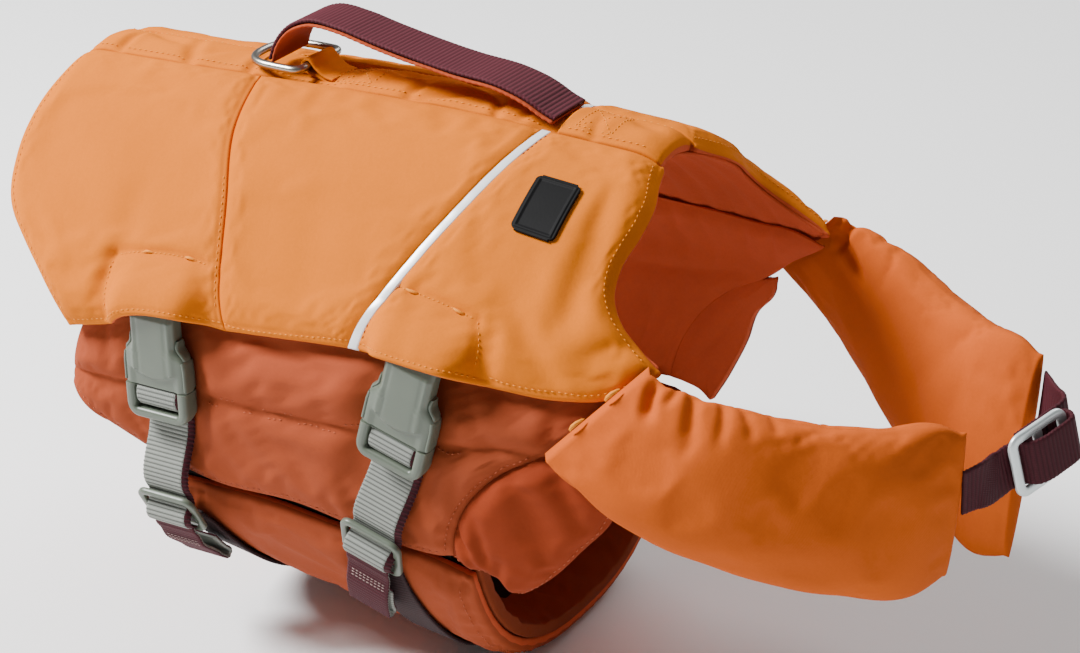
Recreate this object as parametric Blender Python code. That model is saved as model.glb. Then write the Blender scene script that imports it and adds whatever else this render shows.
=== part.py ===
"""Dog life jacket, filled out as it is worn, built from the pieces that are cut and sewn.

Frame: +X towards the dog's head, +Y to its left, +Z up. The origin is where the wearer's
back carries the jacket: inside the top of the back shell, half way along it.
Sizes are in millimetres, and become metres where a mesh is made.

Every cloth piece is cut in pattern coordinates (x, g): x along the dog, and g the distance
round its girth from the middle of the back, over a general barrel-shaped figure. A piece is
the patch between its four edges there, and a wall between two distances from the figure.
"""
import math

import bpy
import bmesh
import numpy as np
from mathutils import Matrix, Vector

MM = 0.001
GAP = 0.3                   # clearance between neighbouring pieces
SIDES = {"right": 1, "left": -1}

# --- the general figure: a row for each cross-section along the dog
FIGURE = np.array([
    # x   half_width  z_widest  z_top  z_belly  upper_power  lower_power
    (-160, 88, -88, -4.0, -190, 1.60, 2.3),
    (-90, 92, -86, -2.2, -196, 1.60, 2.4),
    (0, 96, -84, 1.3, -207, 1.60, 2.5),
    (60, 98.5, -83, 1.8, -213, 1.58, 2.5),
    (95, 98.5, -82, 0.3, -217, 1.56, 2.5),
    (130, 95, -80, -0.7, -218, 1.52, 2.5),
    (185, 78, -78, -3.0, -208, 1.50, 2.5)], float)

# --- cloth walls, as distances from the figure
LINING_IN, LINING_OUT = 0.3, 1.6
SHELL_IN, SHELL_HEM, SHELL_FOAM = 1.9, 5.5, 10.6
SEAM_DIP, SEAM_REACH = 1.8, 7.0         # a seam between two foam panels: its depth and half width
HEM_REACH = 15.0            # how far from a hem the foam reaches its full thickness
SIDE_IN, SIDE_TUCKED, SIDE_FOAM = -3.6, -0.5, 5.0
GUSSET_FOAM = 7.0
BELLY_IN, BELLY_SEAM, BELLY_FOAM = -3.6, 1.0, 5.0
INNER_IN, INNER_OUT = -5.9, -4.5

# --- webbing and trim
WEB_WIDTH, WEB_THICK = 25.0, 1.6        # the handle
SIDE_WEB_WIDTH = 20.0       # the side straps, the belly and the chest
STRIP_WIDTH = 25.0          # the strip along the spine
STRIP_TOP = 9.5
STRIP_DIPS = [(-26.0, 3.0, 15.0), (91.0, 3.4, 12.0)]   # (x, depth, half length) where the ring and handle are sewn
PIPE_WIDTH, PIPE_TOP = 3.6, 7.6
LABEL_THICK = 1.4
GATHERS = 13                # waves in the elastic facing of the belly's front edge

# --- edges of the cut pieces in the pattern, as (x, g) points in millimetres
STRIP_EDGE = STRIP_WIDTH / 2 + GAP
REAR_HEM = [(-143, 0), (-145, 25), (-146, 45), (-143.5, 68), (-134.5, 91.5), (-124, 102), (-111, 114),
            (-92.5, 132)]
REAR_SEAM = [(-52, 0), (-42, 43), (-26.5, 77), (-12, 122.5)]
PIPING = [(90, 0), (79.5, 36), (73.5, 56.5), (64.5, 81), (48, 118.7)]
NECK_EDGE = [(134.5, 0), (138.5, 19), (142.5, 32), (143, 46), (141.5, 59.5), (144, 72.5), (151, 81), (159, 86),
             (170, 92)]
LOWER_EDGE = [(-92.5, 132), (-68, 127.5), (-54, 122.5), (-34, 121.0), (-12, 122.5), (48, 118.7), (108, 117.8),
              (134, 114.8), (153, 108), (170, 92)]
PAD_SEAM = [(168, 96.5), (151, 116), (134, 136)]
GUSSET_SEAM = [(134, 136), (116, 149.5), (100.5, 167.5), (93.7, 181.5), (90, 198.5)]
SIDE_REAR = [(-85, 121), (-95, 142), (-100, 161.5)]
SIDE_LOWER = [(-100, 161.5), (-91, 168), (-81, 177), (-64, 184.5), (-32, 195), (18, 194.5), (50, 199), (73, 200.5),
              (90, 198.5)]
SIDE_UPPER = [(-85, 121), (-54, 114), (-12, 111.5), (48, 108), (108, 107), (134, 104), (156, 96), (168, 96.5)]
GUSSET_FRONT = {
    # the chest hangs a little differently on each side
    "right": [(146, 131), (160, 140), (157, 156), (147, 172), (134, 191), (119, 207)],
    "left": [(140, 133), (138, 143), (130, 155), (126, 170), (119, 188), (112, 203)]}
GUSSET_TOP_REAR = (134, 136)
GUSSET_LOWER = {side: [(90, 198.5), (100, 199), (111, 200.5), front[-1]] if side == "right" else
                [(90, 198.5), (98, 199), (106, 200), front[-1]] for side, front in GUSSET_FRONT.items()}
CREASE = [(-60, 154), (-26, 153), (49, 150.7), (95, 145), (120, 138.5)]
BELLY_REAR_X, BELLY_FRONT_X = -58.0, 97.0
BELLY_EDGE = [(-60, 204), (-34, 202), (0, 201), (34, 204), (74, 204), (100, 208)]
LABEL_CORNERS = ((97, 36.5), (117, 37), (97, 62), (116.5, 63))
FOLDS = [
    # x    g     length  turn  deep  wide  (soft creases in the back shell; turn in degrees from +x)
    (118, 92, 52, 62, 1.8, 9),
    (-108, 74, 60, 35, 1.2, 12),
    (-70, 96, 40, 80, 1.0, 9),
    (20, 88, 46, 75, 1.0, 12),
    (150, 96, 30, -30, 1.6, 7)]


def smooth(at, xs, ys):
    """A curve without kinks through the points (xs, ys): each stretch is a cubic whose end
    slopes are the mean slopes about those points."""
    xs, ys = np.asarray(xs, float), np.asarray(ys, float)
    slope = np.gradient(ys, xs)
    at = np.clip(at, xs[0], xs[-1])
    i = np.clip(np.searchsorted(xs, at) - 1, 0, len(xs) - 2)
    h = xs[i + 1] - xs[i]
    t = (at - xs[i]) / h
    return ((1 + 2 * t) * (1 - t) ** 2 * ys[i] + t * (1 - t) ** 2 * h * slope[i]
            + t * t * (3 - 2 * t) * ys[i + 1] + t * t * (t - 1) * h * slope[i + 1])


def curve(points, count):
    """Points spread evenly along a smooth curve through the given ones."""
    points = np.asarray(points, float)
    run = np.r_[0, np.cumsum(np.linalg.norm(np.diff(points, axis=0), axis=1))]
    at = np.linspace(0, run[-1], count)
    return np.stack([smooth(at, run, column) for column in points.T], 1)


class Figure:
    """The general figure as a table of points over x and girth, read between its entries."""
    X_STEP, G_STEP, SAMPLES = 5.0, 2.0, 721

    def __init__(self):
        self.x = np.arange(FIGURE[0, 0], FIGURE[-1, 0] + self.X_STEP, self.X_STEP)
        turn = np.linspace(0, 2 * math.pi, self.SAMPLES)
        sine, cosine = np.sin(turn), np.cos(turn)
        rings, self.half = [], []
        for x in self.x:
            width, z_wide, z_top, z_belly, upper, lower = (smooth(x, FIGURE[:, 0], column)
                                                           for column in FIGURE[:, 1:].T)
            power = np.where(cosine > 0, 2 / upper, 2 / lower)
            y = width * np.sign(sine) * np.abs(sine) ** power
            reach = np.where(cosine > 0, z_top - z_wide, z_wide - z_belly)
            z = z_wide + reach * np.sign(cosine) * np.abs(cosine) ** power
            run = np.r_[0, np.cumsum(np.hypot(np.diff(y), np.diff(z)))]
            self.half.append(run[-1] / 2)
            rings.append((run, y, z))
        self.g = np.arange(0, 2 * max(self.half), self.G_STEP)
        self.y = np.array([np.interp(self.g, run, y) for run, y, z in rings])
        self.z = np.array([np.interp(self.g, run, z) for run, y, z in rings])
        self.half = np.array(self.half)

    def point(self, x, g):
        """The figure's point at x and girth g; g below zero is on the left side."""
        i = np.clip((x - self.x[0]) / self.X_STEP, 0, len(self.x) - 1.001)
        j = np.clip(np.abs(g) / self.G_STEP, 0, len(self.g) - 1.001)
        i0, j0 = i.astype(int), j.astype(int)
        u, v = i - i0, j - j0

        def read(table):
            near = table[i0, j0] * (1 - v) + table[i0, j0 + 1] * v
            far = table[i0 + 1, j0] * (1 - v) + table[i0 + 1, j0 + 1] * v
            return near * (1 - u) + far * u
        return np.stack([x, -np.where(g < 0, -1, 1) * read(self.y), read(self.z)], -1)

    def out(self, x, g, distance):
        """The point that lies a distance outside the figure's point at (x, g)."""
        x, g = np.broadcast_arrays(np.asarray(x, float), np.asarray(g, float))
        step = 3.0
        along = self.point(x + step, g) - self.point(x - step, g)
        round_ = self.point(x, g + step) - self.point(x, g - step)
        normal = np.cross(round_, along)
        normal /= np.linalg.norm(normal, axis=-1, keepdims=True)
        return self.point(x, g) + normal * np.asarray(distance)[..., None]

    def half_girth(self, x):
        return np.interp(x, self.x, self.half)


FIG = Figure()


# --- pattern patches and how thick each piece is at a pattern point

def patch(upper, lower, rear, front, across, down, inset=GAP / 2):
    """The grid of (x, g) points between four edges: each point is the sum of the straight
    blends of the two facing pairs of edges, less the blend of the four corners."""
    width = np.linalg.norm(np.subtract(upper[-1], upper[0]))
    height = np.linalg.norm(np.subtract(rear[-1], rear[0]))
    u = np.linspace(inset / width, 1 - inset / width, across)
    v = np.linspace(inset / height, 1 - inset / height, down)
    fine = 200
    edge = {name: curve(points, fine) for name, points in
            (("upper", upper), ("lower", lower), ("rear", rear), ("front", front))}

    def at(name, t):
        place = t * (fine - 1)
        return np.stack([np.interp(place, np.arange(fine), column) for column in edge[name].T], -1)
    uu, vv = np.meshgrid(u, v, indexing="ij")
    uu, vv = uu[..., None], vv[..., None]
    sides = (1 - uu) * at("rear", v)[None] + uu * at("front", v)[None]
    ends = (1 - vv) * at("upper", u)[:, None] + vv * at("lower", u)[:, None]
    a, b = edge["upper"][0], edge["upper"][-1]
    c, d = edge["lower"][0], edge["lower"][-1]
    corners = (1 - uu) * (1 - vv) * a + uu * (1 - vv) * b + (1 - uu) * vv * c + uu * vv * d
    grid = sides + ends - corners
    return grid[..., 0], grid[..., 1]


def ramp(distance, reach):
    """0 at a seam, 1 a reach away from it, round like stuffed cloth."""
    return 1 - (1 - np.clip(distance / reach, 0, 1)) ** 2.4


def by_girth(edge, g):
    x, girth = zip(*edge)
    return smooth(g, girth, x)


def by_x(edge, x):
    xs, girth = zip(*edge)
    return smooth(x, xs, girth)


STRAPS = {
    # where each strap crosses the shell's edge, the slider and the belly; how high its socket
    # starts, and how far below that the slider's middle is; how far the buckle's middle plane is
    # from the jacket's; how much the slider leans in at its foot; and how far the shell's edge
    # bulges over the socket
    "rear": dict(x_top=-45.0, x_slider=-43.5, x_belly=-28.0, z_top=-69.4, drop=87.6, out=99.8, tilt=30.0, bulge=12.0),
    "front": dict(x_top=80.5, x_slider=58.5, x_belly=66.0, z_top=-60.0, drop=83.5, out=104.3, tilt=25.0, bulge=16.6)}
TUNNEL_HALF = 21.5
PRESSED = -1.6              # the side panel's outside where a buckle presses the foam in


def tunnel(x, g):
    """The bulge of the shell's lower edge over each strap."""
    height = 0
    for strap in STRAPS.values():
        beside = np.exp(-((x - strap["x_top"]) / TUNNEL_HALF) ** 6)
        height = height + strap["bulge"] * beside * np.clip((g - 99) / 22.0, 0, 1) ** 1.2
    return height


def press(x, g):
    """How much the straps press the side panel in at a pattern point, 0 to 1."""
    share = 0
    for strap in STRAPS.values():
        middle = strap["x_top"] + (strap["x_slider"] - strap["x_top"]) * np.clip((g - 108) / 85.0, 0, 1.2)
        share = share + np.exp(-((x - middle) / 21.0) ** 4) * np.clip((182 - g) / 26.0, 0, 1)
    return np.clip(share, 0, 1)


def folds(x, g):
    """The depth of the large soft creases at a pattern point."""
    depth = 0
    for at_x, at_g, length, turn, deep, wide in FOLDS:
        c, s = math.cos(math.radians(turn)), math.sin(math.radians(turn))
        along = (x - at_x) * c + (g - at_g) * s
        aside = -(x - at_x) * s + (g - at_g) * c
        depth = depth + deep * np.exp(-(aside / wide) ** 2) * np.exp(-(2 * along / length) ** 4)
    return depth


def shell_top(x, g):
    """How far the outside of the back shell stands off the figure: full foam, thinner at the
    hems, a shallow dip along each seam, the creases, and the tunnels over the straps."""
    g = np.abs(g)
    foam = (ramp(by_x(LOWER_EDGE, x) - g, HEM_REACH) * ramp(x - by_girth(REAR_HEM, g), HEM_REACH)
            * ramp(by_girth(NECK_EDGE, g) - x, HEM_REACH))
    seams = [g - STRIP_EDGE, np.abs(x - by_girth(REAR_SEAM, g)), np.abs(x - by_girth(PIPING, g)) - PIPE_WIDTH / 2]
    dip = sum(1 - ramp(distance, SEAM_REACH) for distance in seams)
    return (SHELL_HEM + (SHELL_FOAM - SHELL_HEM) * foam - SEAM_DIP * np.clip(dip, 0, 1) * (0.4 + 0.6 * foam)
            - folds(x, g) * foam + tunnel(x, g))


def shell_under(x, g):
    return SHELL_IN + tunnel(x, np.abs(g))


def side_top(x, g):
    """The side panel: flat where it is tucked under the shell, then two soft channels."""
    clear = np.clip((g - by_x(LOWER_EDGE, x) - 1) / 14, 0, 1)
    channel = ramp(np.abs(g - by_x(CREASE, x)), 11)
    lower = ramp(by_x(SIDE_LOWER[2:], x) - g, 12)
    rear = ramp(x - by_girth(SIDE_REAR, g), 14)
    seam = ramp(by_girth(GUSSET_SEAM, g) - x, 10)
    foam = (0.35 + 0.65 * channel * lower) * rear * (0.3 + 0.7 * seam)
    height = SIDE_TUCKED + (SIDE_FOAM - SIDE_TUCKED) * np.clip(foam, 0, 1) * clear
    return height + (PRESSED - height) * press(x, g)


def gusset_top(side):
    """The chest gusset of one side: plump in its middle, flat at its seam."""
    def top(x, g):
        edge = ramp(x - by_girth(GUSSET_SEAM, g), 12)
        front = ramp(by_girth(GUSSET_FRONT[side], g) - x, 12)
        lower = ramp(by_x(GUSSET_LOWER[side], x) - g, 10)
        upper = ramp(g - 134, 16)
        return SIDE_TUCKED + 1.5 * upper + (GUSSET_FOAM - SIDE_TUCKED) * np.clip(edge * front * lower * upper, 0, 1)
    return top


def belly_top(x, q):
    """The belly panel over x and q, which runs 0 to 1 from its right edge to its left one."""
    edges = ramp(np.minimum(q, 1 - q) * 2 * (FIG.half_girth(x) - by_x(BELLY_EDGE, x)), 16)
    ends = ramp(np.minimum(x - BELLY_REAR_X, BELLY_FRONT_X - x), 14)
    return BELLY_SEAM + (BELLY_FOAM - BELLY_SEAM) * edges * ends


# --- making solids

def paint(name, colour, roughness=0.8, metallic=0.0):
    """A plain Principled finish."""
    made = bpy.data.materials.get(name) or bpy.data.materials.new(name)
    made.use_nodes = True
    shader = made.node_tree.nodes["Principled BSDF"]
    shader.inputs["Base Color"].default_value = (*colour, 1)
    shader.inputs["Roughness"].default_value = roughness
    shader.inputs["Metallic"].default_value = metallic
    return made


FINISH = {
    "orange_cloth": ((0.80, 0.30, 0.06), 0.85, 0),
    "deep_orange_cloth": ((0.62, 0.17, 0.04), 0.85, 0),
    "rust_cloth": ((0.42, 0.10, 0.035), 0.85, 0),
    "dark_cloth": ((0.02, 0.018, 0.015), 0.9, 0),
    "plum_webbing": ((0.06, 0.018, 0.03), 0.8, 0),
    "grey_webbing": ((0.55, 0.57, 0.54), 0.8, 0),
    "reflective_piping": ((0.75, 0.77, 0.78), 0.35, 0.3),
    "rubber": ((0.02, 0.02, 0.02), 0.6, 0),
    "grey_plastic": ((0.20, 0.23, 0.20), 0.45, 0),
    "slider_metal": ((0.60, 0.64, 0.64), 0.35, 1),
    "ring_metal": ((0.55, 0.53, 0.50), 0.3, 1)}


def keep(name, mesh, finish):
    """Link a mesh to the jacket's collection under its node's name, with a material of its own."""
    thing = bpy.data.objects.new(name, mesh)
    bpy.data.collections["dog_life_jacket"].objects.link(thing)
    mesh.materials.clear()
    mesh.materials.append(paint(name, *FINISH[finish]))
    return thing


def wall(name, inner, outer, finish, closed=False):
    """A closed wall between an inner and an outer grid of points of the same size. With
    closed, the second direction runs round and meets itself."""
    m, n = inner.shape[:2]
    points = np.concatenate([inner.reshape(-1, 3), outer.reshape(-1, 3)]) * MM
    index = np.arange(m * n).reshape(m, n)
    if closed:
        index = np.concatenate([index, index[:, :1]], 1)
    over = index + m * n

    def quads(a, b, c, d):
        return np.stack([a.ravel(), b.ravel(), c.ravel(), d.ravel()], 1)
    faces = [quads(index[:-1, :-1], index[:-1, 1:], index[1:, 1:], index[1:, :-1]),
             quads(over[:-1, :-1], over[1:, :-1], over[1:, 1:], over[:-1, 1:]),
             quads(index[0, :-1], over[0, :-1], over[0, 1:], index[0, 1:]),
             quads(index[-1, :-1], index[-1, 1:], over[-1, 1:], over[-1, :-1])]
    if not closed:
        faces += [quads(index[:-1, 0], index[1:, 0], over[1:, 0], over[:-1, 0]),
                  quads(index[:-1, -1], over[:-1, -1], over[1:, -1], index[1:, -1])]
    mesh = bpy.data.meshes.new(name)
    mesh.from_pydata(points.tolist(), [], np.concatenate(faces).tolist())
    return keep(name, outward(mesh), finish)


def outward(mesh):
    """Turn a closed mesh's faces outwards and shade it smooth but for its corners."""
    work = bmesh.new()
    work.from_mesh(mesh)
    bmesh.ops.recalc_face_normals(work, faces=work.faces)
    if work.calc_volume(signed=True) < 0:
        bmesh.ops.reverse_faces(work, faces=work.faces)
    work.to_mesh(mesh)
    work.free()
    mesh.shade_smooth()
    mesh.set_sharp_from_angle(angle=math.radians(40))
    return mesh


def cut_piece(name, side, grid, under, top, finish):
    """A cloth piece of one side: its pattern grid, and its inner and outer distances."""
    x, g = grid
    signed = g * SIDES[side]
    inner = FIG.out(x, signed, under(x, g) if callable(under) else np.full(x.shape, float(under)))
    outer = FIG.out(x, signed, top(x, g) if callable(top) else np.full(x.shape, float(top)))
    return wall(name, inner, outer, finish)


def strip(name, path, across, finish, width=WEB_WIDTH, thick=WEB_THICK, count=0):
    """Webbing of a constant width along a path, flat to its across direction: its section is
    a rectangle whose thin side is square to both."""
    path = curve(path, count) if count else np.asarray(path, float)
    along = np.gradient(path, axis=0)
    across = np.broadcast_to(np.asarray(across, float), path.shape)
    along /= np.linalg.norm(along, axis=1, keepdims=True)
    across = across - along * np.sum(across * along, 1, keepdims=True)
    across = across / np.linalg.norm(across, axis=1, keepdims=True)
    normal = np.cross(along, across)
    edges = [path + across * width * s for s in (-0.5, 0.5)]
    inner = np.stack([e - normal * thick / 2 for e in edges], 1)
    outer = np.stack([e + normal * thick / 2 for e in edges], 1)
    return wall(name, inner, outer, finish)


def between(edge, low, high):
    """The part of an edge whose girth lies between two values, with its ends read there."""
    inside = [(x, g) for x, g in edge if low + 1 < g < high - 1]
    return [(float(by_girth(edge, low)), low), *inside, (float(by_girth(edge, high)), high)]


def stretch(edge, start, end):
    """The part of an edge whose x lies between two values, with its ends read there."""
    inside = [(x, g) for x, g in edge if start + 1 < x < end - 1]
    return [(start, float(by_x(edge, start))), *inside, (end, float(by_x(edge, end)))]


def shifted(edge, by):
    return [(x + by, g) for x, g in edge]


# --- the back shell

def back_shell():
    """Three foam panels a side, the lining, the tape under it, the piping and the spine strip."""
    pipe_half = PIPE_WIDTH / 2 + GAP / 2
    seam_x, pipe_x = REAR_SEAM[-1][0], PIPING[-1][0]
    hem_low, seam_low, pipe_low = LOWER_EDGE[0][1], REAR_SEAM[-1][1], PIPING[-1][1]
    hem_x = float(by_girth(REAR_HEM, STRIP_EDGE))
    seam_top = float(by_girth(REAR_SEAM, STRIP_EDGE))
    pipe_top = float(by_girth(PIPING, STRIP_EDGE))
    neck_top = float(by_girth(NECK_EDGE, STRIP_EDGE))
    tip_x, tip_g = NECK_EDGE[-1]

    def top_edge(start, end):
        return [(start, STRIP_EDGE), ((start + end) / 2, STRIP_EDGE), (end, STRIP_EDGE)]
    piping_line = between(PIPING, STRIP_EDGE, pipe_low)
    for side in SIDES:
        rear = patch(top_edge(hem_x, seam_top), stretch(LOWER_EDGE, LOWER_EDGE[0][0], seam_x),
                     between(REAR_HEM, STRIP_EDGE, hem_low), between(REAR_SEAM, STRIP_EDGE, seam_low), 11, 14)
        cut_piece(f"rear_panel_{side}", side, rear, shell_under, shell_top, "orange_cloth")
        middle = patch(top_edge(seam_top, pipe_top - pipe_half), stretch(LOWER_EDGE, seam_x, pipe_x - pipe_half),
                       between(REAR_SEAM, STRIP_EDGE, seam_low), shifted(piping_line, -pipe_half), 12, 14)
        cut_piece(f"middle_panel_{side}", side, middle, shell_under, shell_top, "orange_cloth")
        shoulder = patch(top_edge(pipe_top + pipe_half, neck_top), stretch(LOWER_EDGE, pipe_x + pipe_half, tip_x),
                         shifted(piping_line, pipe_half), between(NECK_EDGE, STRIP_EDGE, tip_g), 13, 15)
        cut_piece(f"shoulder_panel_{side}", side, shoulder, shell_under, shell_top, "orange_cloth")
        half = PIPE_WIDTH / 2
        piping = patch([(pipe_top - half, STRIP_EDGE), (pipe_top + half, STRIP_EDGE)],
                       [(pipe_x - half, pipe_low), (pipe_x + half, pipe_low)],
                       shifted(piping_line, -half), shifted(piping_line, half), 2, 20, 0)
        cut_piece(f"reflective_piping_{side}", side, piping, shell_under,
                  lambda x, g: PIPE_TOP + tunnel(x, g), "reflective_piping")

    shy = 1.0                # the lining's edges lie just inside the shell's
    low = [(x, g - 3) for x, g in LOWER_EDGE]
    hem = shifted(REAR_HEM[:-1] + [(LOWER_EDGE[0][0], hem_low - 3)], shy)
    neck = shifted(NECK_EDGE[:-1] + [(tip_x - 1, tip_g - 2)], -shy)
    low = [hem[-1], *low[1:-1], neck[-1]]

    def whole(edge):
        return [(x, -g) for x, g in reversed(edge[1:])] + edge
    x, g = patch([(x, -g) for x, g in low], low, whole(hem), whole(neck), 12, 21)
    wall("shell_lining", FIG.out(x, g, np.full(x.shape, LINING_IN)), FIG.out(x, g, np.full(x.shape, LINING_OUT)),
         "rust_cloth")
    x, g = np.meshgrid(np.linspace(-134, 130, 10), np.linspace(-11, 11, 3), indexing="ij")
    wall("inner_tape", FIG.out(x, g, np.full(x.shape, -1.9)), FIG.out(x, g, np.full(x.shape, -0.6)), "dark_cloth")

    half = STRIP_WIDTH / 2
    split = PIPING[0][0]
    start, end = REAR_HEM[0][0], NECK_EDGE[0][0] + 1
    for name, first, last, count, lift in (("spine_strip", start, split - GAP / 2, 16, 0.0),
                                           ("spine_strip_front", split + GAP / 2, end, 6, 1.6)):
        x, g = np.meshgrid(np.linspace(first, last, count), np.linspace(-half, half, 5), indexing="ij")
        crown = 0.8 + 0.2 * ramp(half - np.abs(g), 5)
        hems = 0.6 + 0.4 * ramp(np.minimum(x - start, end - x), 12)
        sewn = sum(deep * np.exp(-((x - at) / wide) ** 4) for at, deep, wide in STRIP_DIPS if lift == 0)
        wall(name, FIG.out(x, g, np.full(x.shape, SHELL_IN)),
             FIG.out(x, g, SHELL_IN + (STRIP_TOP + lift - SHELL_IN) * crown * hems - sewn), "orange_cloth")

    (x0, g0), (x1, g1), (x2, g2), (x3, g3) = LABEL_CORNERS
    grid = patch([(x0, g0), (x1, g1)], [(x2, g2), (x3, g3)], [(x0, g0), (x2, g2)], [(x1, g1), (x3, g3)], 7, 8, 0)
    cut_piece("rubber_label", "right", grid, lambda x, g: shell_top(x, g) + GAP,
              lambda x, g: shell_top(x, g) + GAP + LABEL_THICK, "rubber")


# --- the sides, gussets and belly

def trough(name, start, end, edge_drop, under, top, finish, across, round_):
    """A wall that runs round the belly from the right edge to the left one; the edges lie
    edge_drop above those of the belly panel."""
    x, q = np.meshgrid(np.linspace(start, end, across), np.linspace(0, 1, round_), indexing="ij")
    edge = by_x(BELLY_EDGE, x) - edge_drop
    g = edge + q * 2 * (FIG.half_girth(x) - edge)
    return wall(name, FIG.out(x, g, under(x, q)), FIG.out(x, g, top(x, q)), finish)


def lower_body():
    """A rust side panel and a chest gusset a side, and the belly panel with its lining and
    the gathered facing of its front edge."""
    for side in SIDES:
        panel = patch(SIDE_UPPER, SIDE_LOWER, SIDE_REAR, PAD_SEAM + GUSSET_SEAM[1:], 20, 11)
        cut_piece(f"side_panel_{side}", side, panel, SIDE_IN, side_top, "rust_cloth")
        top = [GUSSET_TOP_REAR, GUSSET_FRONT[side][0]]
        front = patch(shifted(top, GAP), GUSSET_LOWER[side], shifted(GUSSET_SEAM, GAP), GUSSET_FRONT[side], 8, 11)
        cut_piece(f"chest_gusset_{side}", side, front, SIDE_IN, gusset_top(side), "deep_orange_cloth")

    trough("belly_panel", BELLY_REAR_X, BELLY_FRONT_X, 0, lambda x, q: np.full(x.shape, BELLY_IN), belly_top,
           "rust_cloth", 10, 19)
    trough("belly_lining", BELLY_REAR_X + 2, BELLY_FRONT_X - 2, 10, lambda x, q: np.full(x.shape, INNER_IN),
           lambda x, q: np.full(x.shape, INNER_OUT), "dark_cloth", 6, 17)

    def gathers(x, q):
        return 1.1 * np.sin(q * 2 * math.pi * GATHERS) * np.clip((BELLY_FRONT_X + 2 - x) / 20, 0.25, 1)
    trough("belly_front_facing", BELLY_FRONT_X - 26, BELLY_FRONT_X + 1, 5,
           lambda x, q: INNER_IN - 4.2 + gathers(x, q), lambda x, q: INNER_IN - 2.0 + gathers(x, q), "rust_cloth",
           3, 3 * GATHERS + 1)


# --- the neck pads and the chest strap

PAD_ROWS = {
    # each row is a section of the pad: its top edge, its bottom edge (x, y out from the middle, z)
    # and how thick it is there
    "right": [
        ((170.5, 85.5, -48.5), (137.0, 103.0, -85.0), 6.0),
        ((178.0, 85.0, -53.5), (146.0, 102.5, -91.5), 14.0),
        ((198.0, 79.5, -61.5), (170.0, 96.0, -107.5), 23.0),
        ((224.0, 67.5, -65.5), (201.0, 82.0, -121.5), 26.0),
        ((251.0, 52.0, -65.5), (236.0, 61.0, -132.0), 25.0),
        ((267.0, 42.0, -64.5), (259.0, 41.0, -137.0), 18.0),
        ((272.5, 38.5, -64.0), (267.0, 30.0, -137.0), 8.0)]}
PAD_ROWS["left"] = PAD_ROWS["right"][:3] + [
    # its end rolls in, so that its bottom edge comes forward below the strap
    ((224.0, 67.5, -65.5), (204.0, 76.0, -128.0), 26.0),
    ((251.0, 52.0, -65.5), (240.0, 45.0, -147.0), 25.0),
    ((267.0, 42.5, -64.5), (260.0, 28.0, -153.5), 18.0),
    ((274.0, 40.0, -64.0), (272.5, 26.0, -155.0), 8.0)]
SLIDER_AT = (292.0, -3.0, -86.0)
SLIDER_ALONG = (0.43, 0.85, 0.29)
SLIDER_UP = (-0.15, -0.25, 0.96)
PAD_END_LINE = {"right": (0.075, -0.115, 0.99), "left": (0.075, 0.115, 0.99)}


def pad_sections(side, count, round_):
    """The pad's skin: rings of flattened round section through the rows' edges. A ring's long
    axis is from its bottom edge to its top one, and its short axis is square to that and to
    the way the pad runs."""
    rows = PAD_ROWS[side]
    mirror = np.array([1, -SIDES[side], 1])
    top = curve([row[0] for row in rows], 200) * mirror
    bottom = curve([row[1] for row in rows], 200) * mirror
    run = np.linspace(0, 1, len(rows))
    at = np.linspace(0, 1, count)
    place = np.interp(at, np.linspace(0, 1, count), at) * 199
    top = np.stack([np.interp(place, np.arange(200), c) for c in top.T], 1)
    bottom = np.stack([np.interp(place, np.arange(200), c) for c in bottom.T], 1)
    thick = smooth(at, run, [row[2] for row in rows])
    centre = (top + bottom) / 2
    wide = (top - bottom) / 2
    along = np.gradient(centre, axis=0)
    short = np.cross(along, wide)
    short /= np.linalg.norm(short, axis=1, keepdims=True)
    turn = np.linspace(0, 2 * math.pi, round_, endpoint=False)
    c, s = np.cos(turn), np.sin(turn)
    c, s = np.sign(c) * np.abs(c) ** 0.9, np.sign(s) * np.abs(s) ** 0.85
    return (centre[:, None] + wide[:, None] * c[None, :, None]
            + short[:, None] * (thick[:, None] / 2 * s[None])[..., None])


def ring_solid(name, rings, finish):
    """A closed solid from a row of rings, with a flat cap at each end."""
    m, n = rings.shape[:2]
    index = np.arange(m * n).reshape(m, n)
    index = np.concatenate([index, index[:, :1]], 1)
    faces = np.stack([index[:-1, :-1].ravel(), index[:-1, 1:].ravel(), index[1:, 1:].ravel(),
                      index[1:, :-1].ravel()], 1).tolist()
    faces += [list(range(n)), list(range((m - 1) * n, m * n))]
    mesh = bpy.data.meshes.new(name)
    mesh.from_pydata((rings.reshape(-1, 3) * MM).tolist(), [], faces)
    return keep(name, outward(mesh), finish)


def neck_pads():
    for side in SIDES:
        ring_solid(f"neck_pad_{side}", pad_sections(side, 14, 20), "orange_cloth")


# --- hardware

def placed(mesh, centre, across, up):
    """Move a mesh, made about the origin in millimetres, to a centre, with its X along the
    across direction and its Z along the up direction."""
    across, up = Vector(across).normalized(), Vector(up).normalized()
    out = up.cross(across).normalized()
    across = out.cross(up)
    turn = Matrix((across, out, up)).transposed().to_4x4()
    mesh.transform(Matrix.Translation(Vector(centre) * MM) @ turn @ Matrix.Scale(MM, 4))
    return mesh


def block(size, centre=(0, 0, 0), rounding=0.0, segments=2):
    """A box with rounded edges, as a bmesh in millimetres."""
    work = bmesh.new()
    bmesh.ops.create_cube(work, size=1, matrix=Matrix.Translation(centre) @ Matrix.Diagonal((*size, 1)))
    if rounding:
        bmesh.ops.bevel(work, geom=work.edges[:], offset=rounding, segments=segments, affect="EDGES", profile=0.5)
    return work


def solid(name, work):
    """A helper object from a bmesh, kept out of the model."""
    mesh = bpy.data.meshes.new(name)
    work.to_mesh(mesh)
    work.free()
    thing = bpy.data.objects.new(name, mesh)
    bpy.data.collections["cutters"].objects.link(thing)
    thing.hide_render = True
    thing.display_type = "WIRE"
    return thing


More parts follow.
